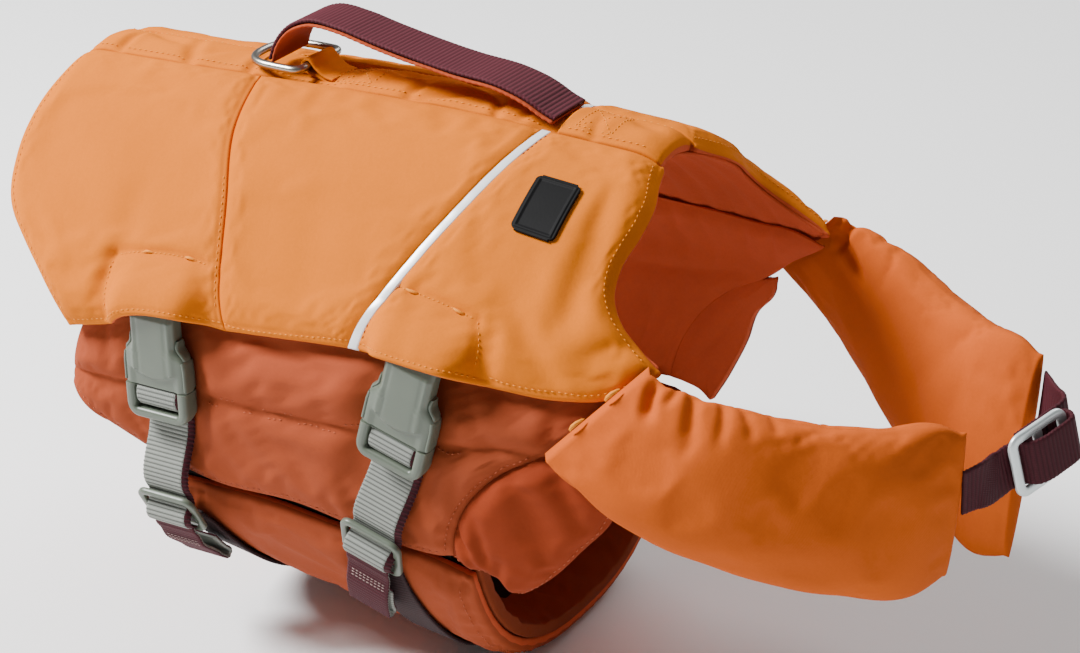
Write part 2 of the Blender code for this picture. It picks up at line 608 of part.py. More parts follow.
def carved(name, body, cutters, joins=()):
    """The mesh of a body with boxes joined to it and cut out of it by exact Booleans."""
    base = solid(name + "_blank", body)
    for operation, works in (("UNION", joins), ("DIFFERENCE", cutters)):
        for k, work in enumerate(works):
            step = base.modifiers.new(f"{operation}{k}", "BOOLEAN")
            step.operation = operation
            step.object = solid(f"{name}_{operation.lower()}_{k}", work)
    bpy.context.view_layer.update()
    mesh = bpy.data.meshes.new_from_object(base.evaluated_get(bpy.context.evaluated_depsgraph_get()))
    mesh.name = name
    return mesh


SOCKET = dict(width=30.5, top_width=22.0, length=30.0, wide_length=13.0, thick=9.5)
PRONG = dict(length=14.7, bar=4.2, arm=1.7, arm_top=7.4)
SLIDER = dict(width=28.5, length=22.0, thick=2.6, bar=3.2)


def socket_mesh():
    """The buckle's socket: a narrow upper part and a wide lower one, with a channel in each
    side for the prong's arms, whose ends show beside the narrow part."""
    width, length, thick = SOCKET["width"], SOCKET["length"], SOCKET["thick"]
    wide = SOCKET["wide_length"]
    lower = block((width, thick, wide), (0, 0, (wide - length) / 2), 1.8)
    channels = [block((4.4, 4.6, length), (s * (width / 2 + 0.1), 0, -4.0)) for s in (-1, 1)]
    return carved("socket", block((SOCKET["top_width"], thick, length), (0, 0, 0), 1.6), channels, [lower])


def prong_mesh():
    """The buckle's prong: a U-shaped frame for the webbing, and an arm up each side."""
    width, thick = SOCKET["width"], SOCKET["thick"] - 0.5
    length, bar, arm = PRONG["length"], PRONG["bar"], PRONG["arm"]
    low = -SOCKET["length"] / 2 - GAP - length / 2
    foot = low + length / 2 - 2.0
    arms = [block((arm, 3.4, PRONG["arm_top"] - foot), (s * (width / 2 - arm / 2 - 0.3), 0,
                                                        (PRONG["arm_top"] + foot) / 2), 0.5, 1) for s in (-1, 1)]
    slot = block((SIDE_WEB_WIDTH + 1.2, thick + 2, length), (0, 0, low + bar))
    back = block((SIDE_WEB_WIDTH + 1.2, 3.4, length + 4), (0, 0.5 - thick / 2, low))
    return carved("prong", block((width, thick, length), (0, 0, low), 2.0), [slot, back], arms)


def slider_mesh(name="slider", width=None, length=None):
    """A three-bar slider: a rounded frame with two slots."""
    width, length = width or SLIDER["width"], length or SLIDER["length"]
    thick, bar = SLIDER["thick"], SLIDER["bar"]
    slot = (length - 3 * bar) / 2
    cutters = [block((SIDE_WEB_WIDTH + 1.8, thick + 2, slot + 0.4), (0, 0, s * (bar + slot) / 2)) for s in (-1, 1)]
    return carved(name, block((width, thick, length), (0, 0, 0), 1.1, 1), cutters)


IN_PRONG = [
    # (o, z): out from the buckle's middle plane, and height below the socket's top
    (1.0, -30.6), (2.2, -33.0), (1.7, -35.4), (-0.9, -37.3), (-3.5, -39.7), (-3.9, -43.0), (-3.8, -48.0)]
IN_SLIDER = [
    # (o, z) in the slider's own leaning plane, from its middle
    (-3.3, 12.5), (-3.2, 8.6), (-2.5, 6.2), (-0.1, 4.3), (3.2, 2.9), (5.0, 0.0), (4.5, -2.8), (3.0, -5.2)]
TAIL_START = [(3.0, -5.9), (3.5, -8.4), (3.1, -11.6)]
TAIL_END = {
    # (o, z) as for the prong: the free end, folded back under itself
    "rear": [(-7.3, -105.0), (-11.8, -109.2), (-16.2, -112.9), (-20.3, -116.7), (-23.6, -118.7), (-25.2, -116.5),
             (-22.3, -113.2), (-18.8, -109.4), (-15.5, -105.4)],
    "front": [(-4.6, -101.5), (-5.6, -106.0), (-7.6, -110.8), (-10.2, -115.6), (-13.2, -119.2), (-15.7, -118.3),
              (-13.1, -113.8), (-10.6, -109.0), (-9.0, -104.6)]}


class Strap:
    """Places on one strap: out from the buckle's middle plane and below its socket's top, or
    in the slider's leaning plane; x follows the strap's own slant."""
    def __init__(self, place, side):
        self.strap = STRAPS[place]
        self.sign = SIDES[side]
        self.slant = (self.strap["x_slider"] - self.strap["x_top"]) / self.strap["drop"]
        self.tilt = math.radians(self.strap["tilt"])

    def spot(self, o, z):
        strap = self.strap
        return np.array((strap["x_top"] - self.slant * z, -self.sign * (o + strap["out"]), strap["z_top"] + z))

    def lean(self, o, z):
        """From the slider's plane to the strap's own (o, z)."""
        c, s = math.cos(self.tilt), math.sin(self.tilt)
        return SLIDER_OUT + o * c + z * s, -self.strap["drop"] + z * c - o * s

    def in_slider(self, o, z):
        return self.spot(*self.lean(o, z))


SLIDER_OUT = -0.8           # the slider's middle, out from the buckle's middle plane


def side_straps():
    """On each side, a rear and a front strap: socket, prong, webbing, slider and folded end."""
    meshes = dict(socket=socket_mesh(), prong=prong_mesh(), slider=slider_mesh())
    for side, sign in SIDES.items():
        for place in STRAPS:
            on = Strap(place, side)
            flat = (1, 0, on.slant)
            across = -sign * np.array(flat)
            up = on.spot(0, 0) - on.spot(0, -100)
            for kind in ("socket", "prong"):
                mesh = placed(meshes[kind].copy(), on.spot(0, -SOCKET["length"] / 2), across, up)
                keep(f"{kind}_{place}_{side}", outward(mesh), "grey_plastic")
            mesh = placed(meshes["slider"].copy(), on.in_slider(0, 0), across, on.in_slider(0, 1) - on.in_slider(0, 0))
            keep(f"slider_{place}_{side}", outward(mesh), "grey_plastic")
            path = [on.spot(*p) for p in IN_PRONG] + [on.in_slider(*p) for p in IN_SLIDER]
            strip(f"strap_{place}_{side}", path, flat, "grey_webbing", SIDE_WEB_WIDTH, count=25)
            path = [on.in_slider(*p) for p in TAIL_START] + [on.spot(*p) for p in TAIL_END[place]]
            strip(f"tail_{place}_{side}", path, flat, "plum_webbing", SIDE_WEB_WIDTH, count=18)


BELLY_WEB_START = 207.0     # the girth where it begins, behind the slider
BELLY_WEB_OUT = 6.5         # its middle, out from the figure
BELLY_WEB_RISE = {"rear": 2.4, "front": 0.0}


def belly_webbing():
    """One webbing under the belly for each pair of straps, laid over the belly panel from
    behind one slider to behind the other."""
    for place, strap in STRAPS.items():
        q, aside = np.meshgrid(np.linspace(0, 1, 31), np.array((-0.5, 0, 0.5)) * SIDE_WEB_WIDTH, indexing="ij")
        far = 2 * (float(FIG.half_girth(strap["x_belly"])) - BELLY_WEB_START)
        run = np.minimum(q, 1 - q) * far
        start = strap["x_slider"] - 1
        x = strap["x_belly"] + (start - strap["x_belly"]) * np.exp(-(run / 34) ** 2) + aside
        g = BELLY_WEB_START + q * 2 * (FIG.half_girth(x) - BELLY_WEB_START)
        out = BELLY_WEB_OUT + BELLY_WEB_RISE[place] * np.exp(-(run / 9) ** 2)
        wall(f"belly_webbing_{place}", FIG.out(x, g, out - WEB_THICK / 2), FIG.out(x, g, out + WEB_THICK / 2),
             "plum_webbing")


def chest_strap():
    """The webbing between the pads' ends, through a metal slider."""
    along, up = np.array(SLIDER_ALONG), np.array(SLIDER_UP)
    along, up = along / np.linalg.norm(along), up / np.linalg.norm(up)
    out = np.cross(along, up)
    centre = np.array(SLIDER_AT)
    mesh = placed(slider_mesh("chest_slider", 27.5, 28.0), centre, up, along)
    keep("chest_slider", outward(mesh), "slider_metal")

    def near(a, o):
        return centre + along * a + out * o
    path = [(275.0, -37.5, -91.5), (278.6, -31.0, -90.5), near(-18.5, -3.0), near(-13, -3.2), near(-8.4, -1.4),
            near(-5.2, 2.8), near(0, 4.4), near(6.0, 4.4), near(11.0, 4.2), near(14.6, 3.5), near(16.3, 0.6),
            near(14.8, -2.7), near(11.0, -3.3), near(8.0, -3.3)]
    turn = np.clip(1 - np.arange(32) / 8, 0, 1)[:, None]
    strip("chest_strap_near", path, up * (1 - turn) + np.array(PAD_END_LINE["right"]) * turn, "plum_webbing",
          SIDE_WEB_WIDTH, count=32)
    path = [(277.5, 38.5, -84.0), (284.0, 31.5, -82.5), near(19.0, -6.4), near(12.0, -6.0), near(5.0, -5.7),
            near(-6.0, -5.5)]
    turn = np.clip(1 - np.arange(15) / 5, 0, 1)[:, None]
    strip("chest_strap_far", path, up * (1 - turn) + np.array(PAD_END_LINE["left"]) * turn, "plum_webbing",
          SIDE_WEB_WIDTH, count=15)


# --- the handle and the D-ring

HANDLE_PATH = [(-47.0, 12.6), (-45.6, 17.0), (-39.0, 26.5), (-28.0, 32.0), (-13.0, 31.6), (2.0, 28.6), (20.0, 25.4),
               (43.0, 22.3), (62.0, 20.6), (75.0, 17.0), (84.0, 12.8), (88.6, 11.2)]
HANDLE_TWIST = 0.24         # how far the rear root's near edge is ahead of its far one, for its width
UNDERSIDE_THICK = 1.3
RING_WIRE = 3.4
RING_WIDE, RING_LONG = 31.4, 28.0       # between the wire's middles, across and along the dog
RING_BAR_X, RING_BAR_Z = -30.5, 11.2
RING_SQUARE = 0.8           # 1 for a round D; less for a squarer one


def handle():
    """Ribbed webbing arched over the spine, with a cloth backing under it. Its rear root is
    turned a little, and the turn fades out along it."""
    line = curve([(x, 0, z) for x, z in HANDLE_PATH], 26)
    turn = HANDLE_TWIST * np.clip(1 - np.arange(len(line)) / 11, 0, 1) ** 1.5
    across = np.stack([-turn, np.ones(len(line)), np.zeros(len(line))], 1)
    strip("handle_webbing", line, across, "plum_webbing")
    along = np.gradient(line, axis=0)
    along /= np.linalg.norm(along, axis=1, keepdims=True)
    under = np.cross(across, along)
    under /= np.linalg.norm(under, axis=1, keepdims=True)
    strip("handle_backing", line + under * (WEB_THICK / 2 + GAP + UNDERSIDE_THICK / 2), across,
          "deep_orange_cloth", thick=UNDERSIDE_THICK)


def d_ring():
    """A round wire bent to a D round the handle's root, and the loop that holds its bar."""
    reach = RING_LONG - RING_WIDE / 2
    arc = np.linspace(-math.pi / 2, math.pi / 2, 15)
    corner = 3.2
    half = RING_WIDE / 2
    outline = [(-corner * 0.3, half - corner * 0.3), (0.0, half - corner), (0.0, 0.0), (0.0, corner - half),
               (-corner * 0.3, corner * 0.3 - half), (-corner, -half)]
    outline += [(-reach - half * math.cos(a) ** RING_SQUARE,
                 math.copysign(half * abs(math.sin(a)) ** RING_SQUARE, a)) for a in arc] + [(-corner, half)]
    bent = bpy.data.curves.new("d_ring", "CURVE")
    bent.dimensions = "3D"
    bent.bevel_depth = RING_WIRE / 2 * MM
    bent.bevel_resolution = 1
    line = bent.splines.new("POLY")
    line.points.add(len(outline) - 1)
    for point, (x, y) in zip(line.points, outline):
        point.co = (x * MM, y * MM, 0, 1)
    line.use_cyclic_u = True
    maker = bpy.data.objects.new("d_ring_wire", bent)
    bpy.data.collections["cutters"].objects.link(maker)
    bpy.context.view_layer.update()
    mesh = bpy.data.meshes.new_from_object(maker.evaluated_get(bpy.context.evaluated_depsgraph_get()))
    bpy.data.objects.remove(maker)
    ring = keep("d_ring", outward(mesh), "ring_metal")
    ring.location = (RING_BAR_X * MM, 0, RING_BAR_Z * MM)

    radius = RING_WIRE / 2 + 0.5 + 0.6
    floor = RING_BAR_Z - radius
    path = [(RING_BAR_X + 12.5, floor + 1.1), (RING_BAR_X + 9, floor + 0.6), (RING_BAR_X + 4, floor + 0.1)]
    path += [(RING_BAR_X - radius * math.sin(a), RING_BAR_Z - radius * math.cos(a))
             for a in np.linspace(0.0, math.pi, 9)]
    path += [(RING_BAR_X + 5, RING_BAR_Z + 1.0), (RING_BAR_X + 9, floor + 2.5), (RING_BAR_X + 12.5, floor + 2.7)]
    strip("ring_loop", [(x, 0, z) for x, z in path], (0, 1, 0), "orange_cloth", width=18.0, thick=1.2, count=34)


def build():
    for thing in list(bpy.data.objects):
        bpy.data.objects.remove(thing, do_unlink=True)
    for name in ("dog_life_jacket", "cutters"):
        group = bpy.data.collections.get(name) or bpy.data.collections.new(name)
        if name not in bpy.context.scene.collection.children:
            bpy.context.scene.collection.children.link(group)
    back_shell()
    lower_body()
    neck_pads()
    side_straps()
    belly_webbing()
    chest_strap()
    handle()
    d_ring()


build()
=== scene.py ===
"""The finish of a dog life jacket: cloth, foam, webbing, plastic and metal round its solids.

The file is laid out as an add-on: the property groups hold the sizes and colours that a user
would change, each operator makes one piece or a group of like pieces, and main() calls them in
order. Sizes in the tables are millimetres, and become metres where a mesh is made.

Every cloth piece is a surface over pattern coordinates (x, g): x along the dog, and g the
distance round its girth from the middle of the back, on a general barrel-shaped figure.
"""
import math

import bpy
import bmesh
import numpy as np
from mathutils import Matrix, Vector
from mathutils.bvhtree import BVHTree


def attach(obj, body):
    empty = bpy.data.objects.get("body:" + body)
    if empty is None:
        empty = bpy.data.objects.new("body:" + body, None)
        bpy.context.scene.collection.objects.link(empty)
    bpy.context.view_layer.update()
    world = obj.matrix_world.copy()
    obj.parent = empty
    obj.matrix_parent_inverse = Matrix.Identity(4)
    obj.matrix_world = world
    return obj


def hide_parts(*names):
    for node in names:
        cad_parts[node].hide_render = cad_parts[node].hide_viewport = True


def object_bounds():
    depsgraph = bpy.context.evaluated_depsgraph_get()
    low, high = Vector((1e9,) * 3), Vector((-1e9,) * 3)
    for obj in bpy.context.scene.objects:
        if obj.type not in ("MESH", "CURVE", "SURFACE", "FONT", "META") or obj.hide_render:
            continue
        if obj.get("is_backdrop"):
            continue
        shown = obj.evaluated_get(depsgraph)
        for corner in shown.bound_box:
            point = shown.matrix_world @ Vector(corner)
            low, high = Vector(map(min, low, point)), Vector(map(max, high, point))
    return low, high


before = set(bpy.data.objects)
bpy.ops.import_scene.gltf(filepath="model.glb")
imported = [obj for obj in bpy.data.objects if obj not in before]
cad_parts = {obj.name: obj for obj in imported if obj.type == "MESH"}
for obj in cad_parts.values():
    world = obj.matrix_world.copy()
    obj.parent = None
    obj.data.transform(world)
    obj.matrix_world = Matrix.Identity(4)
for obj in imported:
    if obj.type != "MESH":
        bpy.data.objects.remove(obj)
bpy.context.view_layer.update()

bl_info = {
    "name": "Dog life jacket finish",
    "version": (1, 0, 0),
    "blender": (4, 5, 0),
    "location": "View3D > Sidebar > Jacket",
    "description": "Makes the cloth, webbing and hardware of a dog life jacket round its solids",
    "category": "Object"}

MM = 0.001
GAP = 0.3
PATTERN_START = 400.0       # where x = 0 lies in a pattern, so that all its x is above zero
INSIDE = 1000.0             # how far the pattern of a wall's inside lies from that of its outside
JACKET, RING = "jacket", "d_ring"
SIDES = {"right": 1, "left": -1}

# --- the general figure: a row for each cross-section along the dog
FIGURE = np.array([
    # x   half_width  z_widest  z_top  z_belly  upper_power  lower_power
    (-160, 88, -88, -4.0, -190, 1.60, 2.3),
    (-90, 92, -86, -2.2, -196, 1.60, 2.4),
    (0, 96, -84, 1.3, -207, 1.60, 2.5),
    (60, 98.5, -83, 1.8, -213, 1.58, 2.5),
    (95, 98.5, -82, 0.3, -217, 1.56, 2.5),
    (130, 95, -80, -0.7, -218, 1.52, 2.5),
    (185, 78, -78, -3.0, -208, 1.50, 2.5)], float)

# --- distances from the figure
LINING_IN, LINING_OUT = 0.3, 1.6
SHELL_IN, SHELL_HEM, SHELL_FOAM = 1.9, 5.5, 10.6
SEAM_DIP, SEAM_REACH = 1.8, 7.0
HEM_REACH = 15.0
SIDE_IN, SIDE_TUCKED, SIDE_FOAM = -3.6, -0.5, 5.0
GUSSET_FOAM = 7.0
BELLY_IN, BELLY_SEAM, BELLY_FOAM = -3.6, 1.0, 5.0
INNER_IN, INNER_OUT = -5.9, -4.5
STRIP_WIDTH, STRIP_TOP = 25.0, 9.5
STRIP_DIPS = [(-26.0, 3.0, 15.0), (91.0, 3.4, 12.0)]   # (x, depth, half length)
PIPE_WIDTH = 3.6
LABEL_THICK, LABEL_CORNER = 1.4, 2.0
TAPE_ENDS, TAPE_HALF = (-133.5, 129.5), 10.5
GATHERS = 13
SEAM_BULGE, HEM_BULGE = 0.45, 1.5       # how far a panel's round rim stands out at a seam and a hem
EDGE_POINTS = 400           # how finely an edge is measured out for a grid
GRIDS = {                   # how many points each sheet's grid has, along the dog and round it
    "rear": (80, 86), "middle": (88, 86), "shoulder": (92, 88), "spine_strip": (190, 28),
    "spine_strip_front": (46, 28), "piping": (9, 150), "label": (40, 52), "lining": (92, 100),
    "tape": (100, 10), "side": (152, 60), "gusset": (56, 78), "belly": (90, 94),
    "belly_lining": (62, 70), "facing": (24, 18 * GATHERS), "pad": (140, 125)}

# --- edges of the cut pieces in the pattern
STRIP_EDGE = STRIP_WIDTH / 2 + GAP
REAR_HEM = [(-143, 0), (-145, 25), (-146, 45), (-143.5, 68), (-134.5, 91.5), (-124, 102), (-111, 114),
            (-92.5, 132)]
REAR_SEAM = [(-52, 0), (-42, 43), (-26.5, 77), (-12, 122.5)]
PIPING = [(90, 0), (79.5, 36), (73.5, 56.5), (64.5, 81), (48, 118.7)]
NECK_EDGE = [(134.5, 0), (138.5, 19), (142.5, 32), (143, 46), (141.5, 59.5), (144, 72.5), (151, 81),
             (159, 86), (170, 92)]
LOWER_EDGE = [(-92.5, 132), (-68, 127.5), (-54, 122.5), (-34, 121.0), (-12, 122.5), (48, 118.7), (108, 117.8),
              (134, 114.8), (153, 108), (170, 92)]
PAD_SEAM = [(168, 96.5), (151, 116), (134, 136)]
GUSSET_SEAM = [(134, 136), (116, 149.5), (100.5, 167.5), (93.7, 181.5), (90, 198.5)]
SIDE_REAR = [(-85, 121), (-95, 142), (-100, 161.5)]
SIDE_LOWER = [(-100, 161.5), (-91, 168), (-81, 177), (-64, 184.5), (-32, 195), (18, 194.5), (50, 199),
              (73, 200.5), (90, 198.5)]
SIDE_UPPER = [(-85, 121), (-54, 114), (-12, 111.5), (48, 108), (108, 107), (134, 104), (156, 96), (168, 96.5)]
GUSSET_FRONT = {
    "right": [(146, 131), (160, 140), (157, 156), (147, 172), (134, 191), (119, 207)],
    "left": [(140, 133), (138, 143), (130, 155), (126, 170), (119, 188), (112, 203)]}
GUSSET_TOP_REAR = (134, 136)
GUSSET_LOWER = {side: [(90, 198.5), (100, 199), (111, 200.5), front[-1]] if side == "right" else
                [(90, 198.5), (98, 199), (106, 200), front[-1]] for side, front in GUSSET_FRONT.items()}
CREASE = [(-60, 154), (-26, 153), (49, 150.7), (95, 145), (120, 138.5)]
BELLY_REAR_X, BELLY_FRONT_X = -58.0, 97.0
BELLY_EDGE = [(-60, 204), (-34, 202), (0, 201), (34, 204), (74, 204), (100, 208)]
LABEL_CORNERS = ((97, 36.5), (117, 37), (97, 62), (116.5, 63))

# --- soft creases: x and g of the middle, length, turn in degrees from +x, depth, half width
FOLDS = [(118, 92, 52, 62, 1.8, 9), (-108, 74, 60, 35, 1.2, 12), (-70, 96, 40, 80, 1.0, 9),
         (20, 88, 46, 75, 1.0, 12), (150, 96, 30, -30, 1.6, 7)]


# --- curves and the figure

def smooth(at, xs, ys):
    """A curve without kinks through the points (xs, ys): each stretch is a cubic whose end
    slopes are the mean slopes about those points."""
    xs, ys = np.asarray(xs, float), np.asarray(ys, float)
    slope = np.gradient(ys, xs)
    at = np.clip(at, xs[0], xs[-1])
    i = np.clip(np.searchsorted(xs, at) - 1, 0, len(xs) - 2)
    h = xs[i + 1] - xs[i]
    t = (at - xs[i]) / h
    return ((1 + 2 * t) * (1 - t) ** 2 * ys[i] + t * (1 - t) ** 2 * h * slope[i]
            + t * t * (3 - 2 * t) * ys[i + 1] + t * t * (t - 1) * h * slope[i + 1])


def run_of(points):
    """The distance along a row of points up to each of them."""
    return np.r_[0, np.cumsum(np.linalg.norm(np.diff(points, axis=0), axis=1))]


def read_at(at, run, row):
    """The points of a row read at distances along it, on the straight lines between them."""
    return np.stack([np.interp(at, run, column) for column in row.T], -1)


def curve(points, count):
    """Points spread evenly along a smooth curve through the given ones."""
    points = np.asarray(points, float)
    run = run_of(points)
    at = np.linspace(0, run[-1], count)
    return np.stack([smooth(at, run, column) for column in points.T], 1)


class Figure:
    """The general figure as a table of points over x and girth: each ring is two half
    superellipses, measured out along its girth."""
    X_STEP, G_STEP, SAMPLES = 2.5, 1.0, 1441

    def __init__(self):
        self.x = np.arange(FIGURE[0, 0], FIGURE[-1, 0] + self.X_STEP, self.X_STEP)
        turn = np.linspace(0, 2 * math.pi, self.SAMPLES)
        sine, cosine = np.sin(turn), np.cos(turn)
        rings, self.half = [], []
        for x in self.x:
            width, z_wide, z_top, z_belly, upper, lower = (smooth(x, FIGURE[:, 0], column)
                                                           for column in FIGURE[:, 1:].T)
            power = np.where(cosine > 0, 2 / upper, 2 / lower)
            y = width * np.sign(sine) * np.abs(sine) ** power
            reach = np.where(cosine > 0, z_top - z_wide, z_wide - z_belly)
            z = z_wide + reach * np.sign(cosine) * np.abs(cosine) ** power
            run = np.r_[0, np.cumsum(np.hypot(np.diff(y), np.diff(z)))]
            self.half.append(run[-1] / 2)
            rings.append((run, y, z))
        self.g = np.arange(0, 2 * max(self.half), self.G_STEP)
        self.y = np.array([np.interp(self.g, run, y) for run, y, z in rings])
        self.z = np.array([np.interp(self.g, run, z) for run, y, z in rings])
        self.half = np.array(self.half)

    def point(self, x, g):
        """The figure's point at x and girth g; g below zero is on the left side."""
        i = np.clip((x - self.x[0]) / self.X_STEP, 0, len(self.x) - 1.001)
        j = np.clip(np.abs(g) / self.G_STEP, 0, len(self.g) - 1.001)
        i0, j0 = i.astype(int), j.astype(int)
        u, v = i - i0, j - j0

        def read(table):
            near = table[i0, j0] * (1 - v) + table[i0, j0 + 1] * v
            far = table[i0 + 1, j0] * (1 - v) + table[i0 + 1, j0 + 1] * v
            return near * (1 - u) + far * u
        return np.stack([x, -np.where(g < 0, -1, 1) * read(self.y), read(self.z)], -1)

    def normal(self, x, g):
        """The figure's outward normal, from differences over a few millimetres."""
        step = 3.0
        along = self.point(x + step, g) - self.point(x - step, g)
        about = self.point(x, g + step) - self.point(x, g - step)
        return unit(np.cross(about, along))

    def out(self, x, g, distance):
        """The point that lies a distance outside the figure's point at (x, g)."""
        x, g = np.broadcast_arrays(np.asarray(x, float), np.asarray(g, float))
        return self.point(x, g) + self.normal(x, g) * np.asarray(distance)[..., None]

    def half_girth(self, x):
        return np.interp(x, self.x, self.half)


def unit(vectors):
    return vectors / np.maximum(np.linalg.norm(vectors, axis=-1, keepdims=True), 1e-9)


FIG = Figure()


def by_girth(edge, g):
    x, girth = zip(*edge)
    return smooth(g, girth, x)


def by_x(edge, x):
    xs, girth = zip(*edge)
    return smooth(x, xs, girth)


def cut(edge, low, high, along=1):
    """The part of an edge whose girth, or with along=0 whose x, lies between two values, with
    its ends read there."""
    inside = [point for point in edge if low + 1 < point[along] < high - 1]
    ends = [(float(by_girth(edge, at)), at) if along else (at, float(by_x(edge, at))) for at in (low, high)]
    return [ends[0], *inside, ends[1]]


def shifted(edge, by):
    return [(x + by, g) for x, g in edge]


def crowded(count, ends=0.55):
    """Places from 0 to 1 that stand closer together towards both ends."""
    t = np.linspace(0, 1, count)
    return t - ends * np.sin(2 * math.pi * t) / (2 * math.pi)


def patch(upper, lower, rear, front, across, down, inset):
    """The grid of (x, g) points between four edges: each point is the sum of the straight
    blends of the two facing pairs of edges, less the blend of the four corners. The inset is
    how far the grid keeps from its rear, front, upper and lower edge."""
    middles = [curve(points, 3) for points in (upper, lower, rear, front)]
    width = max(np.linalg.norm(middles[3] - middles[2], axis=1))
    height = max(np.linalg.norm(middles[1] - middles[0], axis=1))
    in_rear, in_front, in_upper, in_lower = inset
    u = in_rear / width + (1 - (in_rear + in_front) / width) * crowded(across)
    v = in_upper / height + (1 - (in_upper + in_lower) / height) * crowded(down)
    place = np.arange(EDGE_POINTS)
    upper, lower, rear, front = (curve(points, EDGE_POINTS) for points in (upper, lower, rear, front))

    def at(edge, share):
        return read_at(share * (EDGE_POINTS - 1), place, edge)
    uu, vv = np.meshgrid(u, v, indexing="ij")
    uu, vv = uu[..., None], vv[..., None]
    sides = (1 - uu) * at(rear, v)[None] + uu * at(front, v)[None]
    ends = (1 - vv) * at(upper, u)[:, None] + vv * at(lower, u)[:, None]
    corners = ((1 - uu) * (1 - vv) * upper[0] + uu * (1 - vv) * upper[-1]
               + (1 - uu) * vv * lower[0] + uu * vv * lower[-1])
    grid = sides + ends - corners
    return grid[..., 0], grid[..., 1]


# --- relief: what lies over a piece's plain form

def ramp(distance, reach):
    """0 at a seam, 1 a reach away from it, round like stuffed cloth."""
    return 1 - (1 - np.clip(distance / reach, 0, 1)) ** 2.4


def creases(table, a, b, ridge=0.7):
    """The height of a table of creases at places (a, b): each is a trough with a lower ridge
    on either side, fading out at its ends."""
    height = np.zeros(np.broadcast(a, b).shape)
    for at_a, at_b, length, turn, deep, wide in table:
        c, s = math.cos(math.radians(turn)), math.sin(math.radians(turn))
        along = (a - at_a) * c + (b - at_b) * s
        aside = (-(a - at_a) * s + (b - at_b) * c) / wide
        height -= deep * (1 - ridge * aside ** 2) * np.exp(-aside ** 2) * np.exp(-(2 * along / length) ** 4)
    return height


def uneven(place, pitch, seed):
    """An uneven wave about 0 along a line: four sines of unlike pitch and phase."""
    chance = np.random.default_rng(seed)
    wave = 0
    for share in (1.0, 0.8, 0.6, 0.5):
        length = pitch * chance.uniform(0.6, 1.9)
        wave = wave + share * np.sin(2 * math.pi * place / length + chance.uniform(0, 6.28))
    return wave / 1.8


def puckers(distance, along, height, pitch, reach, seed):
    """Small gathers that stand square to a seam: nothing on the seam itself, most a little way
    from it, and fading over their reach."""
    rise = (1 - np.exp(-(distance / 1.5) ** 2)) * np.exp(-distance / reach)
    return height * rise * uneven(along, pitch, seed)


def groove(distance, at, deep, wide):
    """A stitched line's furrow, at one distance from an edge."""
    return -deep * np.exp(-((distance - at) / wide) ** 2)


def side_table(table, side):
    """A side's creases: the left ones are the right's, moved a little and turned the other way."""
    if side == "right":
        return table
    return [(a - 5, b + 4, length, 180 - turn, deep * 0.8, wide + 0.5)
            for a, b, length, turn, deep, wide in table]


def from_edges(x, g):
    """How far each point of a pattern grid is from its rear, front, upper and lower edge,
    measured along the grid's own lines."""
    down = np.cumsum(np.hypot(np.diff(x, axis=0, prepend=x[:1]), np.diff(g, axis=0, prepend=g[:1])), axis=0)
    across = np.cumsum(np.hypot(np.diff(x, axis=1, prepend=x[:, :1]),
                                np.diff(g, axis=1, prepend=g[:, :1])), axis=1)
    return down, down[-1:] - down, across, across[:, -1:] - across


STRAPS = {
    # where each strap crosses the shell's edge, the slider and the belly; how high its socket
    # starts, and how far below that the slider's middle is; how far the buckle's middle plane is
    # from the jacket's; how much the slider leans in at its foot; and how far the shell's edge
    # bulges over the socket
    "rear": dict(x_top=-45.0, x_slider=-43.5, x_belly=-28.0, z_top=-69.4, drop=87.6, out=99.8,
                 tilt=30.0, bulge=12.0),
    "front": dict(x_top=80.5, x_slider=58.5, x_belly=66.0, z_top=-60.0, drop=83.5, out=104.3,
                  tilt=25.0, bulge=16.6)}
TUNNEL_HALF = 21.5          # half the width of the shell's bulge over a strap
PRESSED = -1.6              # how far out the side panel stays where a strap presses it


def tunnel(x, g):
    """The bulge of the shell's lower edge over each strap."""
    height = 0
    for strap in STRAPS.values():
        beside = np.exp(-((x - strap["x_top"]) / TUNNEL_HALF) ** 6)
        height = height + strap["bulge"] * beside * np.clip((g - 99) / 22.0, 0, 1) ** 1.2
    return height


def press(x, g):
    """How much the straps press the side panel in at a pattern point, 0 to 1."""
    share = 0
    for strap in STRAPS.values():
        middle = strap["x_top"] + (strap["x_slider"] - strap["x_top"]) * np.clip((g - 108) / 85.0, 0, 1.2)
        share = share + np.exp(-((x - middle) / 21.0) ** 4) * np.clip((182 - g) / 26.0, 0, 1)
    return np.clip(share, 0, 1)


def shell_top(x, g):
    """How far the outside of the back shell stands off the figure: full foam, thinner at the
    hems, a shallow dip along each seam, the creases, and the tunnels over the straps."""
    g = np.abs(g)
    foam = (ramp(by_x(LOWER_EDGE, x) - g, HEM_REACH) * ramp(x - by_girth(REAR_HEM, g), HEM_REACH)
            * ramp(by_girth(NECK_EDGE, g) - x, HEM_REACH))
    seams = [g - STRIP_EDGE, np.abs(x - by_girth(REAR_SEAM, g)),
             np.abs(x - by_girth(PIPING, g)) - PIPE_WIDTH / 2]
    dip = sum(1 - ramp(distance, SEAM_REACH) for distance in seams)
    return (SHELL_HEM + (SHELL_FOAM - SHELL_HEM) * foam - SEAM_DIP * np.clip(dip, 0, 1) * (0.4 + 0.6 * foam)
            + creases(FOLDS, x, g, 0) * foam + tunnel(x, g))


def shell_under(x, g):
    return SHELL_IN + tunnel(x, np.abs(g))


